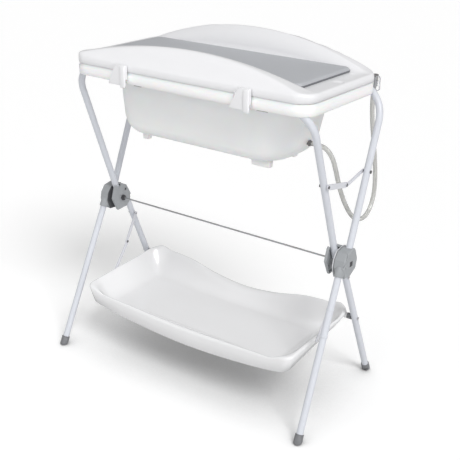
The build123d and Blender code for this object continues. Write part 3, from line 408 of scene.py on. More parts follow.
def carved_copy(node, cutters, width):
    """Copy of a CAD node's mesh with cutters taken out of it and its edges rounded."""
    source = NODES[node]
    work = bmesh.new()
    work.from_mesh(source.data)
    bmesh.ops.remove_doubles(work, verts=work.verts, dist=1e-5)
    bmesh.ops.dissolve_limit(work, angle_limit=math.radians(1), verts=work.verts, edges=work.edges)
    mesh = bpy.data.meshes.new(f"{node}_copy")
    work.to_mesh(mesh)
    work.free()
    copy = bpy.data.objects.new(f"{node}_copy", mesh)
    scene = bpy.context.scene
    scene.collection.objects.link(copy)
    tools = bpy.data.objects.new(f"{node}_tools", finished_mesh(cutters, f"{node}_tools"))
    scene.collection.objects.link(tools)
    carve = copy.modifiers.new("carve", "BOOLEAN")
    carve.operation, carve.solver, carve.object = "DIFFERENCE", "EXACT", tools
    rounding = copy.modifiers.new("rounding", "BEVEL")
    rounding.width, rounding.segments, rounding.limit_method = width, 2, "ANGLE"
    rounding.angle_limit = math.radians(28)
    result = evaluated_mesh(copy)
    for thing in (copy, tools):
        bpy.data.objects.remove(thing)
    return result


def evaluated_mesh(thing):
    """Plain mesh of an object with its modifiers done."""
    graph = bpy.context.evaluated_depsgraph_get()
    graph.update()
    return bpy.data.meshes.new_from_object(thing.evaluated_get(graph), depsgraph=graph)


def fastener_tree():
    """Geometry nodes that set a screw or rivet head on each point, facing its own way."""
    name = "fastener_heads"
    if name in bpy.data.node_groups:
        return bpy.data.node_groups[name]
    tree = bpy.data.node_groups.new(name, "GeometryNodeTree")
    face = tree.interface
    face.new_socket("Geometry", in_out="INPUT", socket_type="NodeSocketGeometry")
    for label, value in (("Radius", 0.0045), ("Height", 0.0022), ("Dome", 0.7), ("Socket", 0.45), ("Depth", 0.001)):
        face.new_socket(label, in_out="INPUT", socket_type="NodeSocketFloat").default_value = value
    face.new_socket("Material", in_out="INPUT", socket_type="NodeSocketMaterial")
    face.new_socket("Geometry", in_out="OUTPUT", socket_type="NodeSocketGeometry")
    sizes = add_node(tree, "NodeGroupInput").outputs
    head = add_node(tree, "GeometryNodeMeshCylinder", {
        "Vertices": 20, "Radius": sizes["Radius"], "Depth": sizes["Height"]})
    lift = add_node(tree, "ShaderNodeMath", {0: sizes["Height"], 1: 0.35}, operation="MULTIPLY")
    sink = add_node(tree, "ShaderNodeMath", {0: sizes["Depth"], 1: -1.0}, operation="MULTIPLY")
    shape, chosen = head.outputs["Mesh"], head.outputs["Top"]
    for offset, size in ((lift.outputs["Value"], "Dome"), (0.0, "Socket"), (sink.outputs["Value"], None)):
        raised = add_node(tree, "GeometryNodeExtrudeMesh", {
            "Mesh": shape, "Selection": chosen, "Offset Scale": offset})
        shape, chosen = raised.outputs["Mesh"], raised.outputs["Top"]
        if size:
            narrowed = add_node(tree, "GeometryNodeScaleElements", {
                "Geometry": shape, "Selection": chosen, "Scale": sizes[size]})
            shape = narrowed.outputs["Geometry"]
    facing = add_node(tree, "GeometryNodeInputNamedAttribute", {"Name": "facing"}, data_type="FLOAT_VECTOR")
    turn = add_node(tree, "FunctionNodeAlignRotationToVector", {"Vector": facing.outputs["Attribute"]}, axis="Z")
    spread = add_node(tree, "GeometryNodeInstanceOnPoints", {
        "Points": sizes["Geometry"], "Instance": shape, "Rotation": turn.outputs["Rotation"]})
    real = add_node(tree, "GeometryNodeRealizeInstances", {"Geometry": spread.outputs["Instances"]})
    painted = add_node(tree, "GeometryNodeSetMaterial", {
        "Geometry": real.outputs["Geometry"], "Material": sizes["Material"]})
    add_node(tree, "NodeGroupOutput", {"Geometry": painted.outputs["Geometry"]})
    return tree


def fastener_heads(places, material, radius, height, dome=0.7, socket=0.45, depth=0.001):
    """Plain mesh of fastener heads at places, each given with the way that it faces."""
    mesh = bpy.data.meshes.new("fastener_places")
    mesh.from_pydata([place for place, way in places], [], [])
    facing = mesh.attributes.new("facing", "FLOAT_VECTOR", "POINT")
    for item, (place, way) in zip(facing.data, places):
        item.vector = way
    thing = bpy.data.objects.new("fastener_places", mesh)
    bpy.context.scene.collection.objects.link(thing)
    tree = fastener_tree()
    heads = thing.modifiers.new("heads", "NODES")
    heads.node_group = tree
    sizes = {"Radius": radius, "Height": height, "Dome": dome, "Socket": socket, "Depth": depth,
             "Material": material}
    for item in tree.interface.items_tree:
        if item.in_out == "INPUT" and item.name in sizes:
            heads[item.identifier] = sizes[item.name]
    result = evaluated_mesh(thing)
    bpy.data.objects.remove(thing)
    return result


# Camera

class TABLE_OT_camera(bpy.types.Operator):
    """Sets the camera at the photograph's place."""
    bl_idname = "changing_table.add_camera"
    bl_label = "Camera"

    def execute(self, context):
        place = (1.437083, -1.966843, 1.430464)
        yaw, pitch, roll, focal_pixels, image_width = 0.618, 0.391, 0.021, 908.269, 460
        ahead = Vector((-math.sin(yaw) * math.cos(pitch), math.cos(yaw) * math.cos(pitch), -math.sin(pitch)))
        right = Vector((math.cos(yaw), math.sin(yaw), 0))
        up = right.cross(ahead)
        turned_right = math.cos(roll) * right + math.sin(roll) * up
        turned_up = math.cos(roll) * up - math.sin(roll) * right
        data = bpy.data.cameras.new("photo_camera")
        data.sensor_width = 36
        data.lens = data.sensor_width * focal_pixels / image_width
        camera = bpy.data.objects.new("photo_camera", data)
        context.scene.collection.objects.link(camera)
        camera.matrix_world = Matrix([(turned_right[i], turned_up[i], -ahead[i], place[i]) for i in range(3)]
                                     + [(0, 0, 0, 1)])
        context.scene.camera = camera
        return {"FINISHED"}


# Hose

HOSE_ROUTE = [
    (295.288, 0, 744), (324, 0, 744), (345, 1, 732), (358, 4.5, 710), (362.5, 14, 678), (362.5, 40, 622),
    (363, 84, 556), (362, 142, 502), (362.5, 206, 491), (362, 246, 534), (361, 250, 600), (361, 229, 684),
    (360, 203, 770), (360, 192.5, 838), (363, 193.5, 888.5)]


class TABLE_OT_hose(bpy.types.Operator):
    """Hangs the drain hose from the outlet to its holder behind the rim."""
    bl_idname = "changing_table.add_hose"
    bl_label = "Drain hose"

    def execute(self, context):
        settings = context.scene.changing_table_hose
        colours = context.scene.changing_table_plastic
        data = bpy.data.curves.new("drain_hose_line", "CURVE")
        data.dimensions = "3D"
        data.bevel_depth = settings.diameter / 2
        data.bevel_resolution = 6
        data.resolution_u = 16
        data.use_fill_caps = True
        line = data.splines.new("NURBS")
        line.points.add(len(HOSE_ROUTE) - 1)
        for point, place in zip(line.points, HOSE_ROUTE):
            point.co = (*[part * MM for part in place], 1)
        line.order_u = 3
        line.use_endpoint_u = True
        hose = bpy.data.objects.new("drain_hose_tube", data)
        context.scene.collection.objects.link(hose)
        data.materials.append(finish(
            "hose_vinyl", colours.hose_colour, 0.22, grain=(400, 0.05), wave=(40, 0.05), edge=0.0002, tint=0.05,
            Transmission_Weight=0.5, Coat_Weight=0.4, Coat_Roughness=0.1))
        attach(hose, "bath")
        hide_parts("drain_hose")
        self.add_cap()
        return {"FINISHED"}

    def add_cap(self):
        """Makes the dark tip and the clear sleeve on the hose's end, and gives their objects."""
        dark = finish("drain_plastic", srgb(112, 111, 110), 0.45, grain=(1200, 0.3), tint=0.1, edge=0.0005,
                      edge_tint=0.25)
        low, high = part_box("hose_cap")
        middle, radius = (low + high) / 2, (high.x - low.x) / 2
        parts = []
        for name, span, material, nodes in (("hose_cap_tip", (high.z - 0.006, high.z), dark, ()),
                                            ("hose_cap_sleeve", (low.z, high.z - 0.006), FINISHES["hose_vinyl"],
                                             ["hose_cap"])):
            work = bmesh.new()
            add_drum(work, (middle.x, middle.y, span[0]), (middle.x, middle.y, span[1]), radius)
            parts.append(new_piece(name, finished_mesh(work, name), material, "bath", nodes,
                                   smooth=False))
        return parts


# Frame

class TABLE_OT_frame(bpy.types.Operator):
    """Paints the frame tubes and the stays."""
    bl_idname = "changing_table.finish_frame"
    bl_label = "Frame"

    def execute(self, context):
        colours = context.scene.changing_table_paint
        tubes = finish("frame_paint", colours.tube_colour, 0.38, grain=(1400, 0.12), wave=(70, 0.06), tint=0.03,
                       edge_tint=-0.1, Coat_Weight=0.35, Coat_Roughness=0.15)
        dress(["outer_upper_frame", "inner_upper_frame"] + both_sides("front_leg", "rear_leg"), tubes)
        stays = finish("stay_paint", colours.stay_colour, 0.4, grain=(1400, 0.15), wave=(70, 0.06), tint=0.05,
                       edge_tint=-0.12, Coat_Weight=0.2)
        dress(["lock_stay_front", "lock_stay_rear"] + both_sides("shelf_stay_upper", "shelf_stay_lower"), stays)
        self.add_collar(tubes)
        return {"FINISHED"}

    def add_collar(self, tubes):
        """Adds the collar with its two beads round the right front leg."""
        work = bmesh.new()
        for high, low, radius in ((0.334, 0.262, 0.0099), (0.334, 0.329, 0.0106), (0.268, 0.263, 0.0107)):
            add_drum(work, front_leg_point(1, low), front_leg_point(1, high), radius, 28, 0.0006)
        new_piece("leg_collar", finished_mesh(work, "leg_collar"), tubes, "outer_frame", smooth=False)


# Pins, rivets and the tie rod

# Height of a rivet's head, then its dome, socket and socket depth
RIVET_HEIGHT = 0.0016
RIVET_FORM = (0.6, 0.4, 0.0002)


class TABLE_OT_hardware(bpy.types.Operator):
    """Plates the pins and the tie rod, and makes the dark pins and rivet heads."""
    bl_idname = "changing_table.finish_hardware"
    bl_label = "Bolts and pins"

    def execute(self, context):
        plate = finish("zinc_plate", (0.62, 0.62, 0.63), 0.3, grain=(2500, 0.2), wave=(200, 0.1), tint=0.12,
                       edge=0.0004, edge_tint=0.2, Metallic=1.0)
        dark = finish("dark_rivet", (0.10, 0.10, 0.105), 0.4, grain=(2500, 0.2), tint=0.2, edge=0.0003,
                      edge_tint=0.5)
        dress(["tie_rod", "hinge_pins", "latch_pins", "shelf_stay_top_pin_right", "shelf_stay_low_pin_right"]
              + both_sides("shelf_pivot_pin"), plate)
        dress(["lock_stay_front_pin", "lock_stay_rear_pin", "shelf_stay_top_pin_left", "shelf_stay_low_pin_left"],
              dark)
        low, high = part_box("lock_stay_front_pin")
        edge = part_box("lock_stay_front")[1].x
        places = [((edge + 0.0006, (low.y + high.y) / 2, (low.z + high.z) / 2), (1, 0, 0))]
        new_piece("lock_stay_front_head", fastener_heads(places, dark, 0.0038, RIVET_HEIGHT, *RIVET_FORM), dark,
                  "lock_link_front", smooth=False)
        for node, body in (("lock_stay_rivet", "lock_link_front"), ("shelf_stay_rivet_right", "stay_upper_right"),
                           ("shelf_stay_rivet_left", "stay_upper_left")):
            self.add_rivet(node, body, dark)
        return {"FINISHED"}

    def add_rivet(self, node, body, plate):
        """Makes a knee rivet: a shank with a domed head at each end."""
        low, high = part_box(node)
        y, z = (low.y + high.y) / 2, (low.z + high.z) / 2
        radius, height = (high.y - low.y) / 2, RIVET_HEIGHT
        reach = 0.0002 if node == "shelf_stay_rivet_right" else 0.0033
        bury = height * 0.85
        places = [((low.x + bury, y, z), (-1, 0, 0)), ((high.x + reach - bury, y, z), (1, 0, 0))]
        heads = fastener_heads(places, plate, radius, height, *RIVET_FORM)
        work = bmesh.new()
        work.from_mesh(heads)
        add_drum(work, (low.x + height, y, z), (high.x - height, y, z), radius * 0.5)
        new_piece(f"{node}_head", finished_mesh(work, f"{node}_head"), plate, body, [node],
                  smooth=False)


# Feet

CAP_PROFILE = ((0.0, 0.0062), (0.0007, 0.0084), (0.0021, 0.0104), (0.0042, 0.0117), (0.0068, 0.0121),
               (0.0225, 0.0119), (0.0232, 0.0113), (0.0240, 0.0113), (0.0246, 0.0120), (0.0262, 0.0118),
               (0.027, 0.0104))
CAP_LEVEL_PART = 0.0045
CAP_STEPS = 28


class TABLE_OT_feet(bpy.types.Operator):
    """Moulds the four rubber feet round the ends of the legs."""
    bl_idname = "changing_table.add_feet"
    bl_label = "Rubber feet"

    def execute(self, context):
        colours = context.scene.changing_table_paint
        rubber = finish("foot_rubber", colours.rubber_colour, 0.55, grain=(900, 0.35), wave=(120, 0.15), tint=0.08,
                        edge=0.0)
        for name, span, hub_span, way, body in (
                ("front", OUTER_FOOT_SPAN, OUTER_HUB_SPAN, -1, "outer_frame"),
                ("rear", INNER_FOOT_SPAN, INNER_HUB_SPAN, 1, "inner_frame")):
            for side, end in ENDS:
                foot = Vector((end * span, way * FOOT_OFFSET, 0))
                top = Vector((end * hub_span, way * HUB_OFFSET, PIVOT_HEIGHT))
                work = bmesh.new()
                self.cap(work, foot, (top - foot).normalized())
                piece = f"{name}_foot_cap_{side}"
                new_piece(piece, finished_mesh(work, piece), rubber, body, [f"{name}_foot_{side}"])
        return {"FINISHED"}

    def cap(self, work, foot, lean):
        """Adds a cap round a leg's end, cut flat by the floor."""
        turn = lean.to_track_quat("Z", "Y")
        loops = []
        for rise, radius in CAP_PROFILE:
            loop = []
            for step in range(CAP_STEPS):
                angle = math.tau * step / CAP_STEPS
                around = turn @ Vector((radius * math.cos(angle), radius * math.sin(angle), 0))
                along = (rise - around.z) / lean.z if rise < CAP_LEVEL_PART else rise
                loop.append(work.verts.new(foot + around + lean * along))
            loops.append(loop)
        join_stack(work, loops)


# Hubs

# X of the hubs' faces, of their screws and of the bottoms of their holes
HUB_FACE, SCREW_FACE, INNER_SCREW_FACE, DEEP_SCREW_FACE = 0.4338, 0.4334, 0.3739, 0.3775
INNER_FACE, HOLE_BOTTOM, DEEP_HOLE_BOTTOM = 0.3700, 0.3765, 0.3778
# Y and Z of places on the hubs, with radii
SCREW_RADIUS, SCREW_HEIGHT = 0.0040, 0.0012
HUB_SCREWS = ((-0.0154, 0.4627), (0.0186, 0.4263))
DEEP_SCREW, DEEP_HOLE_RADIUS = (0.0145, 0.4634), 0.0046
SMALL_HOLE, SMALL_HOLE_RADIUS = (-0.0307, 0.4372), 0.0022
ROD_HOLE, ROD_HOLE_RADIUS = (-0.0012, 0.4412), 0.0042
NOTCH = ((0.0290, 0.4345), (0.0420, 0.4345), (0.0420, 0.4405), (0.0290, 0.4405))
GROOVE_TOP, GROOVE_LOW, GROOVE_WIDTH = (-0.0125, 0.4860), (-0.0370, 0.4395), 0.0022
LINER_MIDDLE = 0.443
LINER_SHARES = ((-1.03, -0.2), (-0.92, 0.36), (-0.55, 0.84), (0.15, 0.97), (0.56, 0.9), (0.9, 0.12), (0.74, -0.62),
                (-0.02, -1.03), (-0.75, -0.98))


class HubSettings(bpy.types.PropertyGroup):
    """Sizes of the mouldings on the hubs."""
    rounding: bpy.props.FloatProperty(
        name="Rounding", description="Rounding of the hubs' edges", default=0.0007, unit="LENGTH")
    groove_depth: bpy.props.FloatProperty(
        name="Groove depth", description="Depth of the slanted groove in an outer hub", default=0.005,
        unit="LENGTH")
    socket_size: bpy.props.FloatProperty(
        name="Socket size", description="Side of the square recess over the pivot bolt", default=0.015,
        unit="LENGTH")


class TABLE_OT_hubs(bpy.types.Operator):
    """Carves the grooves and recesses of the hubs, and sets their screws."""
    bl_idname = "changing_table.add_hubs"
    bl_label = "Hubs"

    def execute(self, context):
        settings = context.scene.changing_table_hub
        colours = context.scene.changing_table_paint
        shell = finish("hub_plastic", colours.hub_colour, 0.42, grain=(1100, 0.35), wave=(60, 0.1), tint=0.05,
                       edge=0.0008, edge_tint=0.15)
        dress(both_sides("shelf_bush"), FINISHES["foot_rubber"])
        liner = finish("liner_plastic", srgb(214, 215, 218), 0.4, grain=(900, 0.1), tint=0.04)
        self.add_liner(liner, gap_shade=FINISHES["foot_rubber"])
        # The left liner gets dark grey instead of the right liner's white: painted shade, as it lies in shadow
        dress(["hub_liner_left"], finish("liner_painted_shade", srgb(84, 85, 88), 0.6, grain=(900, 0.2), tint=0.06))
        dark = finish("screw_steel", (0.045, 0.045, 0.05), 0.45, grain=(2500, 0.2), tint=0.2, edge=0.0003)
        dress(both_sides("pivot_bolt"), dark)
        for side, end in ENDS:
            mesh = carved_copy(f"outer_hub_{side}", self.outer_cutters(settings, end), settings.rounding)
            new_piece(f"outer_hub_shell_{side}", mesh, shell, "outer_frame",
                      [f"outer_hub_{side}"], smooth=False)
            mesh = carved_copy(f"inner_hub_{side}", self.inner_cutters(end), settings.rounding)
            new_piece(f"inner_hub_shell_{side}", mesh, shell, "inner_frame",
                      [f"inner_hub_{side}"], smooth=False)
        outer = [((end * SCREW_FACE, y, z), (end, 0, 0)) for _, end in ENDS for y, z in HUB_SCREWS]
        inner = [((end * INNER_SCREW_FACE, -y, z), (-end, 0, 0)) for _, end in ENDS for y, z in HUB_SCREWS[1:]]
        # The deep screws take the dark steel as painted shade at the bottoms of their holes; the other screws take
        # the hubs' plastic
        deep = [((end * DEEP_SCREW_FACE, *DEEP_SCREW), (-end, 0, 0)) for _, end in ENDS]
        for name, places, material, depth, body, nodes in (
                ("outer_hub_screw_heads", outer, shell, 0.0004, "outer_frame", ["outer_hub_screws"]),
                ("inner_hub_screw_heads", inner, shell, 0.0004, "inner_frame", ["inner_hub_screws"]),
                ("inner_hub_deep_screws_shade", deep, dark, 0.0009, "inner_frame", ())):
            heads = fastener_heads(places, material, SCREW_RADIUS, SCREW_HEIGHT, depth=depth)
            new_piece(name, heads, material, body, nodes, smooth=False)
        return {"FINISHED"}

    def add_liner(self, white, gap_shade):
        """Makes the right liner, whose white edge shows beside a dark disc of painted shade in the gap round the
        outer hub.
        """
        for name, size, near, far, material, nodes in (
                ("hub_liner_edge", 0.0402, 0.3985, 0.4010, white, ["hub_liner_right"]),
                # Dark disc in the gap between liner and hub: painted shade
                ("hub_liner_gap_shade", 0.0386, 0.4010, 0.4034, gap_shade, ())):
            work = bmesh.new()
            outline = [(y * size, LINER_MIDDLE + z * size) for y, z in LINER_SHARES]
            add_prism(work, outline, near, far, lambda y, z, x: (x, y, z), 0.0004)
            new_piece(name, finished_mesh(work, name), material, "outer_frame", nodes, smooth=False)

    def outer_cutters(self, settings, end):
        """Tools that cut the socket, the slanted groove and the screw hole, and shorten the lower sleeve."""
        work = bmesh.new()
        out = HUB_FACE + 0.002
        half = settings.socket_size / 2
        low, high = PIVOT_HEIGHT - half, PIVOT_HEIGHT + half
        self.tool(work, end, [(-half, low), (half, low), (half, high), (-half, high)], HUB_FACE - 0.004, out)
        groove = [GROOVE_TOP, GROOVE_LOW] + [(y - GROOVE_WIDTH, z) for y, z in (GROOVE_LOW, GROOVE_TOP)]
        self.tool(work, end, groove, HUB_FACE - settings.groove_depth, out)
        self.tool(work, end, self.ring(*SMALL_HOLE, SMALL_HOLE_RADIUS, 12), HUB_FACE - 0.008, out)
        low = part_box("outer_hub_right")[0].z
        add_drum(work, front_leg_point(end, low + 0.0115), front_leg_point(end, low - 0.006), 0.0150)
        return work

    def inner_cutters(self, end):
        """Tools that cut the hole beside the rod, the deep screw hole and the notch of an inner hub."""
        work = bmesh.new()
        for outline, depth in ((self.ring(*ROD_HOLE, ROD_HOLE_RADIUS, 14), HOLE_BOTTOM),
                               (self.ring(*DEEP_SCREW, DEEP_HOLE_RADIUS, 16), DEEP_HOLE_BOTTOM),
                               (NOTCH, HOLE_BOTTOM)):
            self.tool(work, end, outline, INNER_FACE, depth)
        return work

    def ring(self, y, z, radius, steps):
        """Points of a circle across X."""
        turns = [math.tau * step / steps for step in range(steps)]
        return [(y + radius * math.cos(turn), z + radius * math.sin(turn)) for turn in turns]

    def tool(self, work, end, outline, near, far):
        """Adds a closed prism of an outline across X."""
        loops = [[work.verts.new((end * depth, y, z)) for y, z in outline] for depth in (near, far)]
        work.faces.new(loops[0])
        work.faces.new(loops[1])
        join_loops(work, loops[0], loops[1])


# Bath

class BathSettings(bpy.types.PropertyGroup):
    """Sizes of the bath's rim and feet."""
    rim_step: bpy.props.FloatProperty(
        name="Rim step", description="How far the upper band of the rim is set back", default=0.0022, unit="LENGTH")
    lip: bpy.props.FloatProperty(
        name="Lip", description="Rounding of the lip over the bath's wall", default=0.002, unit="LENGTH")
    foot_round: bpy.props.FloatProperty(
        name="Foot rounding", description="Rounding of the moulded feet", default=0.003, unit="LENGTH")


# Sizes that the bath and the top share, and sizes of the bath
TOP_HALF_LENGTH, TOP_HALF_WIDTH, TOP_BULGE, TOP_CORNER = 0.384, 0.1805, 0.006, 0.046
TOP_BASE, DECK = 0.8931, 0.9151
FLANGE_TOP, FLANGE_BOTTOM, SKIRT_BOTTOM = 0.8928, 0.8898, 0.8618
BATH_BOTTOM = 0.6943
BATH_LEFT, BATH_RIGHT, BATH_HALF_WIDTH = 0.301, 0.3165, 0.1315
LEFT_CORNER, RIGHT_CORNER, CORNER_LOSS = 0.088, 0.110, 0.026
END_ROUND, SIDE_ROUND = 0.062, 0.036
LEFT_SLOPE, RIGHT_SLOPE, SIDE_SLOPE = (math.tan(math.radians(angle)) for angle in (5.5, 12.5, 6.3))
# Each ear's hinge line, its near end beside the hinge, its radius and the corners of its root
EAR_FAR_END = 0.0233
EARS = ((REAR_HINGE, 0.0153, 0.005, (0.18, 0.8868), (0.1918, 0.8926)),
        (LATCH_HINGE, 0.0183, 0.0035, (-0.1903, 0.8646), (-0.18, 0.871)))
# Middle and length of the feet under the bath, and their heights with the size of the outline there
BATH_FEET, FEET_OFFSET, FEET_HALF_WIDTH = ((-0.214, 0.020), (0.182, 0.058)), 0.062, 0.009
FEET_LEVELS = ((0.6763, 0.93), (0.6771, 0.985), (0.68, 1.0), (0.699, 1.05))
# Ends along the front, and low and high heights, of the grey strips under the rim: painted shade
RIM_SHADE_STRIPS, SHADE_STRIP_LOW, SHADE_STRIP_HIGH = ((-0.153, -0.128), (0.240, 0.272)), 0.8596, 0.8634
# Places of an outline's points along its sides and round its corners
LONG_SHARES = (-0.9595, -0.9577, -0.8, -0.6, -0.4, -0.2, 0, 0.2, 0.4, 0.6, 0.8, 0.9577, 0.9595)
SHORT_SHARES = (-0.6, -0.2, 0.2, 0.6)
CORNER_ANGLES = (0, 14.7, 15.3, 30, 45, 60, 75, 90)


def side_stretch(x):
    """How far the long side stands out at a place along it, as a share of its plain width."""
    radius = (TOP_HALF_LENGTH ** 2 + TOP_BULGE ** 2) / (2 * TOP_BULGE)
    bulge = TOP_BULGE - radius + math.sqrt(radius ** 2 - x * x)
    return 1 + bulge / TOP_HALF_WIDTH


def plan_outline(left, right, wide, left_corner, right_corner):
    """Points of a rounded rectangle, as many on each side and corner whatever its size, anticlockwise."""
    start, end = -left + left_corner, right - right_corner
    middle, half = (start + end) / 2, (end - start) / 2
    points = [(middle + half * share, -wide) for share in LONG_SHARES]
    corners = ((end, -wide + right_corner, right_corner, -90), (end, wide - right_corner, right_corner, 0),
               (start, wide - left_corner, left_corner, 90), (start, -wide + left_corner, left_corner, 180))
    for number, (x, y, corner, turn) in enumerate(corners):
        steps = [turn + angle for angle in CORNER_ANGLES]
        if number in (0, 2):
            steps = [turn + 90 - angle for angle in reversed(CORNER_ANGLES)]
        points += [(x + corner * math.cos(math.radians(step)), y + corner * math.sin(math.radians(step)))
                   for step in steps]
        if number in (0, 2):
            reach = wide - corner
            way = 1 if number == 0 else -1
            edge = right if number == 0 else -left
            points += [(edge, way * reach * share) for share in SHORT_SHARES]
        elif number == 1:
            points += [(middle - half * share, wide) for share in LONG_SHARES]
    return points


def rim_outline(inset):
    """Outline of the bath's rim, moved inwards."""
    half, wide = TOP_HALF_LENGTH - inset, TOP_HALF_WIDTH - inset
    corner = max(TOP_CORNER - inset, 0.001)
    return [(x, y * side_stretch(x)) for x, y in plan_outline(half, half, wide, corner, corner)]


def round_loss(radius, level):
    """How far a rounded bottom edge has drawn in at a level above the bottom."""
    return radius - math.sqrt(radius ** 2 - (radius - level) ** 2) if level < radius else 0.0


def bath_outline(height, inset):
    """Outline of the bath's body at a height, moved inwards by a wall."""
    level, drop = height - BATH_BOTTOM - inset, FLANGE_TOP - height
    end_loss = round_loss(END_ROUND - inset, level)
    side_loss = round_loss(SIDE_ROUND - inset, level) + drop * SIDE_SLOPE
    left = BATH_LEFT - inset - end_loss - drop * LEFT_SLOPE
    right = BATH_RIGHT - inset - end_loss - drop * RIGHT_SLOPE
    loss = CORNER_LOSS * drop / (FLANGE_TOP - BATH_BOTTOM) + end_loss / 2 + inset
    return plan_outline(left, right, BATH_HALF_WIDTH - inset - side_loss, LEFT_CORNER - loss, RIGHT_CORNER - loss)


def skirt_bottom(x, y):
    """Lowest height of the skirt, which stops short of the rear corners where the arms come out."""
    return FLANGE_BOTTOM - 0.0003 if abs(x) > 0.324 and y > 0.1465 else SKIRT_BOTTOM


class TABLE_OT_bath(bpy.types.Operator):
    """Moulds the bath with its rim, ears and feet."""
    bl_idname = "changing_table.add_bath"
    bl_label = "Bath"

    def execute(self, context):
        settings = context.scene.changing_table_bath
        colours = context.scene.changing_table_plastic
        work = bmesh.new()
        loops = [self.loop(work, bath_outline(height, 0), height) for height in self.heights(0)]
        work.faces.new(loops[0])
        rim = [self.loop(work, rim_outline(WALL), FLANGE_BOTTOM)]
        for inset, rise in ((WALL, 0.0008), (0.0022, 0.0), (0.0008, 0.0), (0.0, 0.0008)):
            rim.append(self.loop(work, rim_outline(inset), None, rise))
        step = settings.rim_step
        for inset, drop in ((0.0, 0.0088), (step, 0.0076), (step, 0.0020), (step + 0.0005, 0.0008),
                            (step + 0.0022, 0.0)):
            rim.append(self.loop(work, rim_outline(inset), FLANGE_TOP - drop, high=True))
        lip = settings.lip
        inner = []
        for turn in (0, 30, 60):
            inset = WALL - lip * (1 - math.sin(math.radians(turn)))
            height = FLANGE_TOP - lip * (1 - math.cos(math.radians(turn)))
            inner.append(self.loop(work, bath_outline(FLANGE_TOP, inset), height))
        inner += [self.loop(work, bath_outline(height, WALL), height)
                  for height in reversed(self.heights(WALL, FLANGE_TOP - lip))]
        join_stack(work, loops + rim + inner, closed=False)
        work.faces.new(inner[-1])
        self.add_ears(work)
        shell = finish("bath_plastic", colours.bath_colour, 0.32, grain=(900, 0.05), wave=(8, 0.1), tint=0.02,
                       edge=0.0, Subsurface_Weight=0.2, Subsurface_Scale=0.004, Coat_Weight=0.25,
                       Coat_Roughness=0.15)
        new_piece("bath_shell", finished_mesh(work, "bath_shell"), shell, "bath", ["bathtub"])
        self.add_feet(settings, shell)
        self.add_shade_strips()
        return {"FINISHED"}

    def heights(self, inset, top=FLANGE_BOTTOM):
        """Heights of the bath's levels, close together in the rounding."""
        radius = END_ROUND - inset
        base = BATH_BOTTOM + inset
        levels = [0.0, 0.00012, 0.0004, 0.0009]
        levels += [radius * (1 - math.sin(math.radians(turn))) for turn in range(77, -1, -7)]
        rise = top - base - radius
        return [base + level for level in levels] + [base + radius + rise * share for share in (0.25, 0.5, 0.75, 1)]

    def loop(self, work, outline, height, rise=0.0, high=False):
        """Vertices of an outline at a height, or just above the skirt's lower edge."""
        loop = []
        for x, y in outline:
            level = skirt_bottom(x, y) + rise if height is None else height
            if high:
                level = max(level, skirt_bottom(x, y) + 0.0008)
            loop.append(work.verts.new((x, y, level)))
        return loop

    def add_ears(self, work):
        """Adds the hinge ears behind the rim and the latch ears in front of it."""
        for side in (-1, 1):
            for edge in (-1, 1):
                for line, near, radius, below, above in EARS:
                    low, high = sorted(side * HINGE_SPAN + edge * reach for reach in (near, EAR_FAR_END))
                    add_drum(work, (low, *line), (high, *line), radius)
                    add_block(work, (low, *below), (high, *above), 0.0008)

    def add_feet(self, settings, shell):
        """Adds the moulded feet under the bath."""
        work = bmesh.new()
        for middle, length in BATH_FEET:
            for side in (-1, 1):
                across = side * FEET_OFFSET
                outline = rounded_outline(middle - length / 2, middle + length / 2, across - FEET_HALF_WIDTH,
                                          across + FEET_HALF_WIDTH, settings.foot_round, 4)
                loops = [[work.verts.new((middle + (x - middle) * size, across + (y - across) * size, height))
                          for x, y in outline] for height, size in FEET_LEVELS]
                join_stack(work, loops)
        new_piece("bath_feet", finished_mesh(work, "bath_feet"), shell, "bath", ["bath_floor"])

    def add_shade_strips(self):
        """Adds grey strips under the front of the rim: painted shade for the shadowed slots there."""
        work = bmesh.new()
        for left, right in RIM_SHADE_STRIPS:
            reach = TOP_HALF_WIDTH * side_stretch((left + right) / 2)
            add_block(work, (left, -reach + 0.0006, SHADE_STRIP_LOW), (right, -reach + 0.0046, SHADE_STRIP_HIGH), 0.0007)
        # The strips' grey is painted shade
        rubber = finish("rim_strip_shade", srgb(172, 172, 169), 0.7, grain=(900, 0.3), tint=0.08, edge=0.0)
        new_piece("rim_shade_strips", finished_mesh(work, "rim_shade_strips"), rubber, "bath")


# Drain fittings

class TABLE_OT_drain(bpy.types.Operator):
    """Gives the outlet, nut and plug their dark plastic and the hose holder its clear plastic."""
    bl_idname = "changing_table.finish_drain"
    bl_label = "Drain fittings"

    def execute(self, context):
        dress(["drain_outlet", "drain_nut", "drain_plug"], FINISHES["drain_plastic"])
        clear = finish("clear_plastic", srgb(232, 233, 236), 0.12, grain=(500, 0.03), tint=0.02, edge=0.0008,
                       Transmission_Weight=0.6, Coat_Weight=0.5)
        dress(["hose_holder"], clear)
        return {"FINISHED"}


# Changing top

class TopSettings(bpy.types.PropertyGroup):
    """Sizes of the changing top."""
    crest_blend: bpy.props.FloatProperty(
        name="Crest rounding", description="Width of the rounding along the crests", default=0.009, unit="LENGTH")
    foot_blend: bpy.props.FloatProperty(
        name="Foot rounding", description="Width of the hollow between deck and walls", default=0.012,
        unit="LENGTH")
    edge_round: bpy.props.FloatProperty(
        name="Edge round", description="Radius of the deck's outer edge", default=0.008, unit="LENGTH")
    recess_depth: bpy.props.FloatProperty(
        name="Recess depth", description="Depth of the finger recess", default=0.0042, unit="LENGTH")


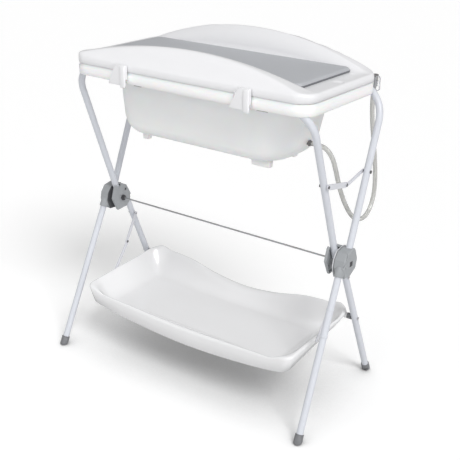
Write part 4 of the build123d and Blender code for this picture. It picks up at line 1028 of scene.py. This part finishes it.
# Each wall's side, crest height, reach of its crest and reach of its foot
WALL_BASE, WALL_REACH, CREST_HALF_WIDTH = 0.9021, 0.1865, 0.0065
TOP_WALLS = ((-1, 0.9681, 0.140, 0.128), (1, 0.9911, 0.152, 0.136))
RECESS_PLACE, RECESS_RADIUS, RECESS_EDGE = 0.358, 0.0125, 1.25
FINE_STEPS = (0, 0.0008, 0.0017, 0.0028, 0.0042, 0.006, 0.0082, 0.011, 0.0145, 0.019, 0.025, 0.032, 0.039)


def arch(x, crest, fuller):
    """Height of an arched crest at a place along it; a fuller crest stays higher toward its end."""
    end, half = (DECK, 0.384) if fuller else (DECK - 0.004, 0.372)
    rise = crest - end
    radius = (half * half + rise * rise) / (2 * rise)
    return crest - radius + math.sqrt(max(radius ** 2 - x * x, 0))


def top_height(x, y, settings):
    """Height of the changing top's upper surface."""
    height = DECK
    for side, crest, crest_reach, foot in TOP_WALLS:
        reach = side * y
        outer = WALL_BASE + ((WALL_REACH - reach) * (crest - WALL_BASE)
                             / (WALL_REACH - crest_reach - CREST_HALF_WIDTH))
        inner = DECK + (reach - foot) * (crest - DECK) / (crest_reach - CREST_HALF_WIDTH - foot)
        wall = smooth_min(outer, arch(x, crest, side < 0 and x < 0), settings.crest_blend)
        wall = smooth_min(wall, inner, settings.crest_blend)
        height = smooth_max(height, max(wall, DECK - 0.03), settings.foot_blend)
    recess = math.hypot(x - RECESS_PLACE, y) / RECESS_RADIUS
    if recess < RECESS_EDGE:
        fall = min(max((RECESS_EDGE - recess) / 0.5, 0), 1)
        slant = 0.35 + 0.65 * min(max((x - 0.3455) / 0.025, 0), 1)
        height -= settings.recess_depth * fall * fall * (3 - 2 * fall) * slant
    return height


class TABLE_OT_top(bpy.types.Operator):
    """Makes the hollow changing top with its two arched walls."""
    bl_idname = "changing_table.add_top"
    bl_label = "Changing top"

    def execute(self, context):
        settings = context.scene.changing_table_top
        colours = context.scene.changing_table_plastic
        work = bmesh.new()
        along = fine_steps(TOP_HALF_LENGTH, TOP_CORNER, FINE_STEPS, 0.006)
        across = fine_steps(TOP_HALF_WIDTH, TOP_CORNER, FINE_STEPS, 0.0045)
        recess = [round(0.3425 + 0.0015 * step, 6) for step in range(21)]
        along = sorted([place for place in along if not recess[0] - 0.001 < place < recess[-1] + 0.001] + recess)
        rows = []
        for y_plain in across:
            row = []
            for x_plain in along:
                x, y = in_plan(x_plain, y_plain, TOP_HALF_LENGTH, TOP_HALF_WIDTH, TOP_CORNER)
                row.append(work.verts.new((x, y * side_stretch(x), self.edge_height(x, y, settings))))
            rows.append(row)
        grid_faces(work, rows)
        inner = inner_rows(work, rows, WALL)
        grid_faces(work, inner)
        sheets = [grid_edge(rows), grid_edge(inner)]
        loops = []
        for edge, level, size in ((sheets[0], TOP_BASE + 0.0010, 1), (sheets[0], TOP_BASE, 1 - 0.0050),
                                  (sheets[1], TOP_BASE, 1)):
            loops.append([work.verts.new((vert.co.x * size, vert.co.y * size, level)) for vert in edge])
        join_edges(work, sheets[0], loops, sheets[1])
        self.add_knuckles(work)
        shell = finish("top_plastic", colours.top_colour, 0.3, grain=(900, 0.04), wave=(6, 0.06), tint=0.012,
                       edge=0.0012, Coat_Weight=0.3, Coat_Roughness=0.12)
        new_piece("changing_top_shell", finished_mesh(work, "changing_top_shell"), shell, "top",
                  ["changing_top"])
        return {"FINISHED"}

    def edge_height(self, x, y, settings):
        """Height over a point of the plain plan, rounded down at the outer edge."""
        inside = max(inside_distance(x, y, TOP_HALF_LENGTH, TOP_HALF_WIDTH, TOP_CORNER), 0)
        drop = edge_drop(inside, settings.edge_round)
        return top_height(x, y * side_stretch(x), settings) - drop

    def add_knuckles(self, work):
        """Adds the rear hinge knuckles."""
        for side in (-1, 1):
            low, high = side * HINGE_SPAN - 0.015, side * HINGE_SPAN + 0.015
            add_drum(work, (low, *REAR_HINGE), (high, *REAR_HINGE), 0.005)
            add_block(work, (low, 0.183, 0.8934), (high, 0.1935, 0.8978), 0.0008)


# Latches

class LatchSettings(bpy.types.PropertyGroup):
    """Sizes of the front latches."""
    rib_width: bpy.props.FloatProperty(
        name="Rib width", description="Width of the rounded rib", default=0.0175, unit="LENGTH")
    rib_rise: bpy.props.FloatProperty(
        name="Rib rise", description="How far the rib stands out of the flap", default=0.0036, unit="LENGTH")


LATCH_OUTLINE = ((0.03, 0.0), (0.95, 0.0), (1.0, 0.03), (1.0, 0.88), (0.985, 0.94), (0.94, 0.985), (0.87, 1.0),
                 (0.6, 1.0), (0.52, 0.985), (0.44, 0.94), (0.37, 0.86), (0.30, 0.72), (0.17, 0.42), (0.05, 0.15),
                 (0.0, 0.06), (0.005, 0.02))
LATCH_BACK, LATCH_FRONT = -0.1941, -0.1971
LATCH_LOW, LATCH_HEIGHT, LATCH_WIDTH, LATCH_SHIFT = 0.8575, 0.055, 0.060, 0.0325


class TABLE_OT_latches(bpy.types.Operator):
    """Makes the two front latches with their rounded ribs."""
    bl_idname = "changing_table.add_latches"
    bl_label = "Latches"

    def execute(self, context):
        settings = context.scene.changing_table_latch
        back, front, low, top = LATCH_BACK, LATCH_FRONT, LATCH_LOW, LATCH_LOW + LATCH_HEIGHT
        for side, end in ENDS:
            work = bmesh.new()
            middle = end * HINGE_SPAN
            left = middle - LATCH_SHIFT
            right = left + LATCH_WIDTH
            outline = [(left + LATCH_WIDTH * along, low + LATCH_HEIGHT * up) for along, up in LATCH_OUTLINE]
            add_prism(work, outline, front, back, lambda x, z, y: (x, y, z), 0.0011)
            for corner, opposite, round_edge in (
                    ((right - settings.rib_width, front - settings.rib_rise, low - 0.005),
                     (right, back, top - 0.002), 0.0034),
                    ((middle - 0.006, back - 0.001, top - 0.005), (right - 0.001, -0.1868, top - 0.0002), 0.0012),
                    ((right - 0.0028, back - 0.001, 0.8735), (right - 0.0002, -0.1872, top - 0.002), 0.0008),
                    ((left + 0.0142, back - 0.001, 0.8735), (left + 0.0165, -0.1882, top - 0.012), 0.0008)):
                add_block(work, corner, opposite, round_edge)
            add_drum(work, (middle - 0.018, *LATCH_HINGE), (middle + 0.018, *LATCH_HINGE), 0.0035)
            add_block(work, (middle - 0.018, back - 0.001, 0.8661), (middle + 0.018, -0.1905, 0.8695), 0.0006)
            new_piece(f"latch_clip_{side}", finished_mesh(work, f"latch_clip_{side}"), FINISHES["top_plastic"],
                      f"front_latch_{side}", [f"latch_{side}"])
        return {"FINISHED"}


# Changing mat

MAT_SHORTER, MAT_CORNER, MAT_CREST_WIDTH = 0.009, 0.019, 0.010
MAT_SEAM_PROFILE = ((0.0024, 0.0), (0.0007, 0.0008), (0.0, 0.0024), (0.0, 0.0034), (0.0012, 0.0040),
                    (0.0002, 0.0048))
MAT_EDGE_STEPS, MAT_CROWN_STEPS, MAT_CROWN_POWER = 6, 14, 2.6


class TABLE_OT_mat(bpy.types.Operator):
    """Makes the foam mat that lies between the walls of the changing top."""
    bl_idname = "changing_table.add_mat"
    bl_label = "Changing mat"

    def execute(self, context):
        settings = context.scene.changing_table_mat
        colours = context.scene.changing_table_plastic
        low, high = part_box("changing_mat")
        low.x += MAT_SHORTER
        work = bmesh.new()
        thickness = high.z - low.z
        radius = settings.edge_round
        profile = list(MAT_SEAM_PROFILE)
        for step in range(MAT_EDGE_STEPS + 1):
            turn = math.radians(90 * step / MAT_EDGE_STEPS)
            profile.append((radius * (1 - math.cos(turn)), thickness - radius + radius * math.sin(turn)))
        half = (high.y - low.y) / 2
        for step in range(1, MAT_CROWN_STEPS + 1):
            share = step / MAT_CROWN_STEPS
            profile.append((radius + (half - MAT_CREST_WIDTH - radius) * share,
                            thickness + settings.crown * (1 - (1 - share) ** MAT_CROWN_POWER)))
        loops = []
        for inset, height in profile:
            outline = rounded_outline(low.x + inset, high.x - inset, low.y + inset, high.y - inset,
                                      max(MAT_CORNER - inset, 0.006), 10)
            loops.append([work.verts.new((*self.pulled(point, low, high, settings), low.z + height))
                          for point in outline])
        join_stack(work, loops)
        mesh = finished_mesh(work, "changing_mat_pad")
        foam = finish("mat_foam", colours.mat_colour, 0.55, grain=(1500, 0.5), wave=(14, 0.25), tint=0.04,
                      edge=0.0, Specular_IOR_Level=0.3)
        piece = new_piece("changing_mat_pad", mesh, foam, "top", ["changing_mat"])
        # Dark band round the mat's lower edge: painted shade along the foot of the mat's sides
        band = bmesh.new()
        outline = [self.pulled(point, low, high, settings) for point in
                   rounded_outline(low.x - 0.0003, high.x + 0.0003, low.y - 0.0003, high.y + 0.0003, MAT_CORNER, 10)]
        add_prism(band, outline, low.z + 0.0002, low.z + 0.0050, lambda x, y, z: (x, y, z), 0.0010)
        dark = finish("mat_shade_band", srgb(116, 118, 122), 0.7, grain=(1500, 0.5), tint=0.05, edge=0.0)
        new_piece("changing_mat_shade_band", finished_mesh(band, "changing_mat_shade_band"), dark, "top")
        return {"FINISHED"}

    def pulled(self, point, low, high, settings):
        """A point of the mat's plan, drawn in towards the middle between the corners."""
        part_x, part_y = [(point[i] - (low[i] + high[i]) / 2) / ((high[i] - low[i]) / 2) for i in range(2)]
        return (point[0] - settings.side_pull * max(1 - part_y ** 2, 0) * part_x,
                point[1] - settings.side_pull * max(1 - part_x ** 2, 0) * part_y)


# Shelf: BEYOND is how far its rim's surface reaches past its sides

class ShelfSettings(bpy.types.PropertyGroup):
    """Sizes of the shelf."""
    floor_blend: bpy.props.FloatProperty(
        name="Floor rounding", description="Width of the hollow between floor and walls", default=0.065,
        unit="LENGTH")
    rim_blend: bpy.props.FloatProperty(
        name="Rim rounding", description="Width of the rounding inside the rim", default=0.014, unit="LENGTH")
    rim_round: bpy.props.FloatProperty(
        name="Rim radius", description="Radius of the rim's outer edge", default=0.008, unit="LENGTH")


SHELF_HALF_LENGTH, SHELF_FRONT, SHELF_REAR = 0.369, -0.180, 0.150
SHELF_MIDDLE, SHELF_HALF_WIDTH = (SHELF_FRONT + SHELF_REAR) / 2, (SHELF_REAR - SHELF_FRONT) / 2
SHELF_FLOOR, FLOOR_CORNER, WALL_SLOPE = 0.158, 0.034, math.tan(math.radians(29))
FLOOR_INSET_END, FLOOR_INSET_FRONT, FLOOR_INSET_REAR = 0.043, 0.022, 0.042
FRONT_CORNER, REAR_CORNER = 0.024, 0.040
# A rim line's lowest height, its rise, and the shares of the rise at the rim's places
RIM_PLACES = (0.0, 0.3, 0.6, 0.8, 1.0)
FRONT_RIM, REAR_RIM = (0.181, 0.033, (0.0, 0.09, 0.3, 0.55, 1.0)), (0.193, 0.052, (0.0, 0.23, 0.79, 1.0, 0.67))
FRONT_SKIRT, MIDDLE_SKIRT, REAR_SKIRT = 0.0530, 0.0030, 0.030
BEYOND = 0.02
BUSH_LINE = (0.129827, 0.213)
SHELF_STEPS = (0, 0.0007, 0.0016, 0.0028, 0.0045, 0.007, 0.010, 0.0135, 0.0175, 0.022, 0.027, 0.033)


def shelf_corner(y):
    """Corner radius of the shelf, smaller in front."""
    return FRONT_CORNER if y < 0 else REAR_CORNER


def depth_share(y):
    """Place between front and rear, from 0 just before the shelf to 1 just behind it."""
    return (y - SHELF_FRONT + BEYOND) / (SHELF_REAR - SHELF_FRONT + 2 * BEYOND)


def wave_line(x, low, rise, shares):
    """Height of a wavy rim line, through shares of its rise at the rim's places, with the middle lowest."""
    places, last = RIM_PLACES, len(RIM_PLACES) - 1
    reach = min(abs(x) / (SHELF_HALF_LENGTH + BEYOND), 1.0)
    number = max(i for i in range(last) if places[i] <= reach)
    slopes = [0.0]
    for i in range(1, last + 1):
        after = min(i + 1, last)
        slopes.append((shares[after] - shares[i - 1]) / (places[after] - places[i - 1]))
    width = places[number + 1] - places[number]
    t = (reach - places[number]) / width
    share = ((2 * t ** 3 - 3 * t ** 2 + 1) * shares[number] + (t ** 3 - 2 * t ** 2 + t) * width * slopes[number]
             + (3 * t ** 2 - 2 * t ** 3) * shares[number + 1] + (t ** 3 - t ** 2) * width * slopes[number + 1])
    return low + rise * share


def shelf_rim(x, y):
    """Height of the wavy surface that the shelf's rim lies in."""
    front, rear = wave_line(x, *FRONT_RIM), wave_line(x, *REAR_RIM)
    return front + (rear - front) * depth_share(y)


def shelf_height(x, y, settings):
    """Height of the shelf's upper surface: a dished floor, hollow walls and the rim."""
    front, rear = SHELF_FRONT + FLOOR_INSET_FRONT, SHELF_REAR - FLOOR_INSET_REAR
    outside = -inside_distance(x, y - (front + rear) / 2, SHELF_HALF_LENGTH - FLOOR_INSET_END, (rear - front) / 2,
                               FLOOR_CORNER)
    inside = smooth_max(SHELF_FLOOR, SHELF_FLOOR + outside / WALL_SLOPE, settings.floor_blend)
    return smooth_min(inside, shelf_rim(x, y), settings.rim_blend)


class TABLE_OT_shelf(bpy.types.Operator):
    """Makes the moulded shelf with its wavy rim."""
    bl_idname = "changing_table.add_shelf"
    bl_label = "Shelf"

    def execute(self, context):
        settings = context.scene.changing_table_shelf
        colours = context.scene.changing_table_plastic
        work = bmesh.new()
        along = fine_steps(SHELF_HALF_LENGTH, REAR_CORNER, SHELF_STEPS, 0.0042)
        across = fine_steps(SHELF_HALF_WIDTH, REAR_CORNER, SHELF_STEPS, 0.0035)
        rows = []
        for y_plain in across:
            row = []
            for x_plain in along:
                corner = shelf_corner(y_plain)
                x, y = in_plan(x_plain, y_plain, SHELF_HALF_LENGTH, SHELF_HALF_WIDTH, corner)
                inside = max(inside_distance(x, y, SHELF_HALF_LENGTH, SHELF_HALF_WIDTH, corner), 0)
                level = shelf_height(x, y + SHELF_MIDDLE, settings) - edge_drop(inside, settings.rim_round)
                row.append(work.verts.new((x, y + SHELF_MIDDLE, level)))
            rows.append(row)
        grid_faces(work, rows)
        inner = inner_rows(work, rows, WALL)
        grid_faces(work, inner)
        edges = [grid_edge(rows), grid_edge(inner)]
        loops = []
        for edge, lift, draw_in in ((edges[0], 0.0012, 0.007), (edges[0], 0.0, 0.0082), (edges[1], 0.0, 0.007)):
            loop = []
            shrink = 1 - draw_in / 0.18
            for x, y, _ in [vert.co for vert in edge]:
                level = shelf_rim(x, y) - self.skirt_height(x, y) + lift
                loop.append(work.verts.new((x * shrink, (y - SHELF_MIDDLE) * shrink + SHELF_MIDDLE, level)))
            loops.append(loop)
        join_edges(work, edges[0], loops, edges[1])
        for side in (-1, 1):
            ends = sorted((side * (SHELF_HALF_LENGTH - 0.024), side * (SHELF_HALF_LENGTH - 0.0005)))
            add_drum(work, (ends[0], *BUSH_LINE), (ends[1], *BUSH_LINE), 0.0085)
        shell = finish("shelf_plastic", colours.shelf_colour, 0.2, grain=(900, 0.03), wave=(7, 0.08), tint=0.015,
                       edge=0.0, Coat_Weight=0.5, Coat_Roughness=0.14)
        new_piece("shelf_shell", finished_mesh(work, "shelf_shell"), shell, "shelf", ["shelf_tray"])
        return {"FINISHED"}

    def skirt_height(self, x, y):
        """Height of the skirt below the rim, taller in front and in the middle."""
        front = FRONT_SKIRT + MIDDLE_SKIRT * (1 - (x / SHELF_HALF_LENGTH) ** 2)
        return front + (REAR_SKIRT - front) * depth_share(y)


# Stage

FLOOR_REACH, FLOOR_LEVEL = 14.0, -0.0005
GLOSSY_LEVEL = 0.32


class TABLE_OT_stage(bpy.types.Operator):
    """Lays the pale floor and sets the soft lamps."""
    bl_idname = "changing_table.add_stage"
    bl_label = "Stage"

    def execute(self, context):
        settings = context.scene.changing_table_stage
        scene = context.scene
        scene.view_settings.view_transform = "Standard"
        work = bmesh.new()
        work.faces.new([work.verts.new((x * FLOOR_REACH, y * FLOOR_REACH, FLOOR_LEVEL))
                        for x, y in ((-1, -1), (1, -1), (1, 1), (-1, 1))])
        floor = bpy.data.objects.new("studio_floor", finished_mesh(work, "studio_floor"))
        scene.collection.objects.link(floor)
        floor.data.materials.append(floor_paper())
        for name, angle, level, source in (("main_lamp", 24, settings.main_level, (0.95, -0.55, 1.1)),
                                           ("side_lamp", 40, settings.side_level, (1.0, -0.30, 0.16))):
            sun = bpy.data.lights.new(name, "SUN")
            sun.angle, sun.energy = math.radians(angle), level
            self.place_lamp(scene, sun, Vector(source), Vector((0, 0, 0)))
        panel = bpy.data.lights.new("front_lamp", "AREA")
        panel.shape, panel.size, panel.energy = "SQUARE", 1.5, settings.front_level
        self.place_lamp(scene, panel, Vector((0.35, -1.9, 1.5)), Vector((0, 0, 0.75)))
        world = bpy.data.worlds.new("studio_world")
        scene.world = world
        tree = empty_tree(world)
        rays = add_node(tree, "ShaderNodeLightPath").outputs
        level = add_node(tree, "ShaderNodeMapRange", {
            "Value": rays["Is Glossy Ray"], "To Min": settings.world_level, "To Max": GLOSSY_LEVEL})
        even = add_node(tree, "ShaderNodeBackground", {"Color": (1, 1, 1, 1), "Strength": level.outputs["Result"]})
        white = add_node(tree, "ShaderNodeBackground", {"Color": (1, 1, 1, 1), "Strength": 1.0})
        pick = add_node(tree, "ShaderNodeMixShader", {
            "Fac": seen_rays(tree), 1: even.outputs["Background"], 2: white.outputs["Background"]})
        add_node(tree, "ShaderNodeOutputWorld", {"Surface": pick.outputs["Shader"]})
        return {"FINISHED"}

    def place_lamp(self, scene, data, source, target):
        """Hangs a lamp at a place, turned to a target."""
        lamp = bpy.data.objects.new(data.name, data)
        lamp.location = source
        lamp.rotation_euler = (target - source).to_track_quat("-Z", "Y").to_euler()
        scene.collection.objects.link(lamp)


def seen_rays(tree):
    """Socket that is 1 for camera and transmission rays."""
    rays = add_node(tree, "ShaderNodeLightPath").outputs
    larger = add_node(tree, "ShaderNodeMath", {0: rays["Is Camera Ray"], 1: rays["Is Transmission Ray"]},
                      operation="MAXIMUM")
    return larger.outputs["Value"]


def floor_paper():
    """White paper that shows at full level except in the table's shadow, which its colour and glow deepen by ambient
    occlusion as painted shade.
    """
    material = bpy.data.materials.new("floor_paper")
    tree = empty_tree(material)
    # Ambient occlusion darkens the paper's colour and glow under and near the table: painted shade on top of the
    # lamps' shadow
    shade = add_node(tree, "ShaderNodeAmbientOcclusion", {"Distance": 0.30}, samples=12)
    level = add_node(tree, "ShaderNodeMapRange", {
        "Value": shade.outputs["AO"], "From Min": 0.25, "From Max": 0.88, "To Min": 0.42, "To Max": 1.0})
    grey = add_node(tree, "ShaderNodeMix", {
        "Factor": level.outputs["Result"], "A": (0, 0, 0, 1), "B": (0.96, 0.96, 0.96, 1)}, data_type="RGBA")
    bright = add_node(tree, "ShaderNodeBsdfDiffuse", {"Color": grey.outputs["Result"]})
    glow_level = add_node(tree, "ShaderNodeMath", {0: level.outputs["Result"], 1: 0.11}, operation="MULTIPLY")
    glow = add_node(tree, "ShaderNodeEmission", {"Color": (1, 1, 1, 1), "Strength": glow_level.outputs["Value"]})
    both = add_node(tree, "ShaderNodeAddShader", {0: bright.outputs["BSDF"], 1: glow.outputs["Emission"]})
    paper = add_node(tree, "ShaderNodeBsdfDiffuse", {"Color": (0.72, 0.72, 0.72, 1)})
    pick = add_node(tree, "ShaderNodeMixShader", {
        "Fac": seen_rays(tree), 1: paper.outputs["BSDF"], 2: both.outputs["Shader"]})
    add_node(tree, "ShaderNodeOutputMaterial", {"Surface": pick.outputs["Shader"]})
    return material


# Panel

class TABLE_PT_panel(bpy.types.Panel):
    """Lists the steps and the settings."""
    bl_idname = "TABLE_PT_panel"
    bl_label = "Changing table"
    bl_space_type = "VIEW_3D"
    bl_region_type = "UI"
    bl_category = "Changing table"

    def draw(self, context):
        column = self.layout.column(align=True)
        for step in STEPS:
            column.operator(step.bl_idname)
        for kind, name in SETTINGS:
            box = self.layout.box()
            for prop in kind.__annotations__:
                box.prop(getattr(context.scene, name), prop)


STEPS = (TABLE_OT_camera, TABLE_OT_hose, TABLE_OT_frame, TABLE_OT_hardware, TABLE_OT_feet, TABLE_OT_hubs,
         TABLE_OT_bath, TABLE_OT_drain, TABLE_OT_top, TABLE_OT_latches, TABLE_OT_mat, TABLE_OT_shelf, TABLE_OT_stage)
SETTINGS = ((PaintSettings, "changing_table_paint"), (PlasticSettings, "changing_table_plastic"),
            (HoseSettings, "changing_table_hose"), (HubSettings, "changing_table_hub"),
            (BathSettings, "changing_table_bath"), (TopSettings, "changing_table_top"),
            (LatchSettings, "changing_table_latch"), (MatSettings, "changing_table_mat"),
            (ShelfSettings, "changing_table_shelf"), (StageSettings, "changing_table_stage"))


def register():
    """Registers the settings, then the steps and the panel."""
    for kind, name in SETTINGS:
        bpy.utils.register_class(kind)
        setattr(bpy.types.Scene, name, bpy.props.PointerProperty(type=kind))
    for kind in (*STEPS, TABLE_PT_panel):
        bpy.utils.register_class(kind)


def unregister():
    """Takes back what register does, in the other order."""
    for kind in (TABLE_PT_panel, *reversed(STEPS)):
        bpy.utils.unregister_class(kind)
    for kind, name in reversed(SETTINGS):
        delattr(bpy.types.Scene, name)
        bpy.utils.unregister_class(kind)


def main():
    """Builds the whole table."""
    register()
    for step in STEPS:
        group, name = step.bl_idname.split(".")
        getattr(getattr(bpy.ops, group), name)()
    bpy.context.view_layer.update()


if __name__ == "__main__":
    main()
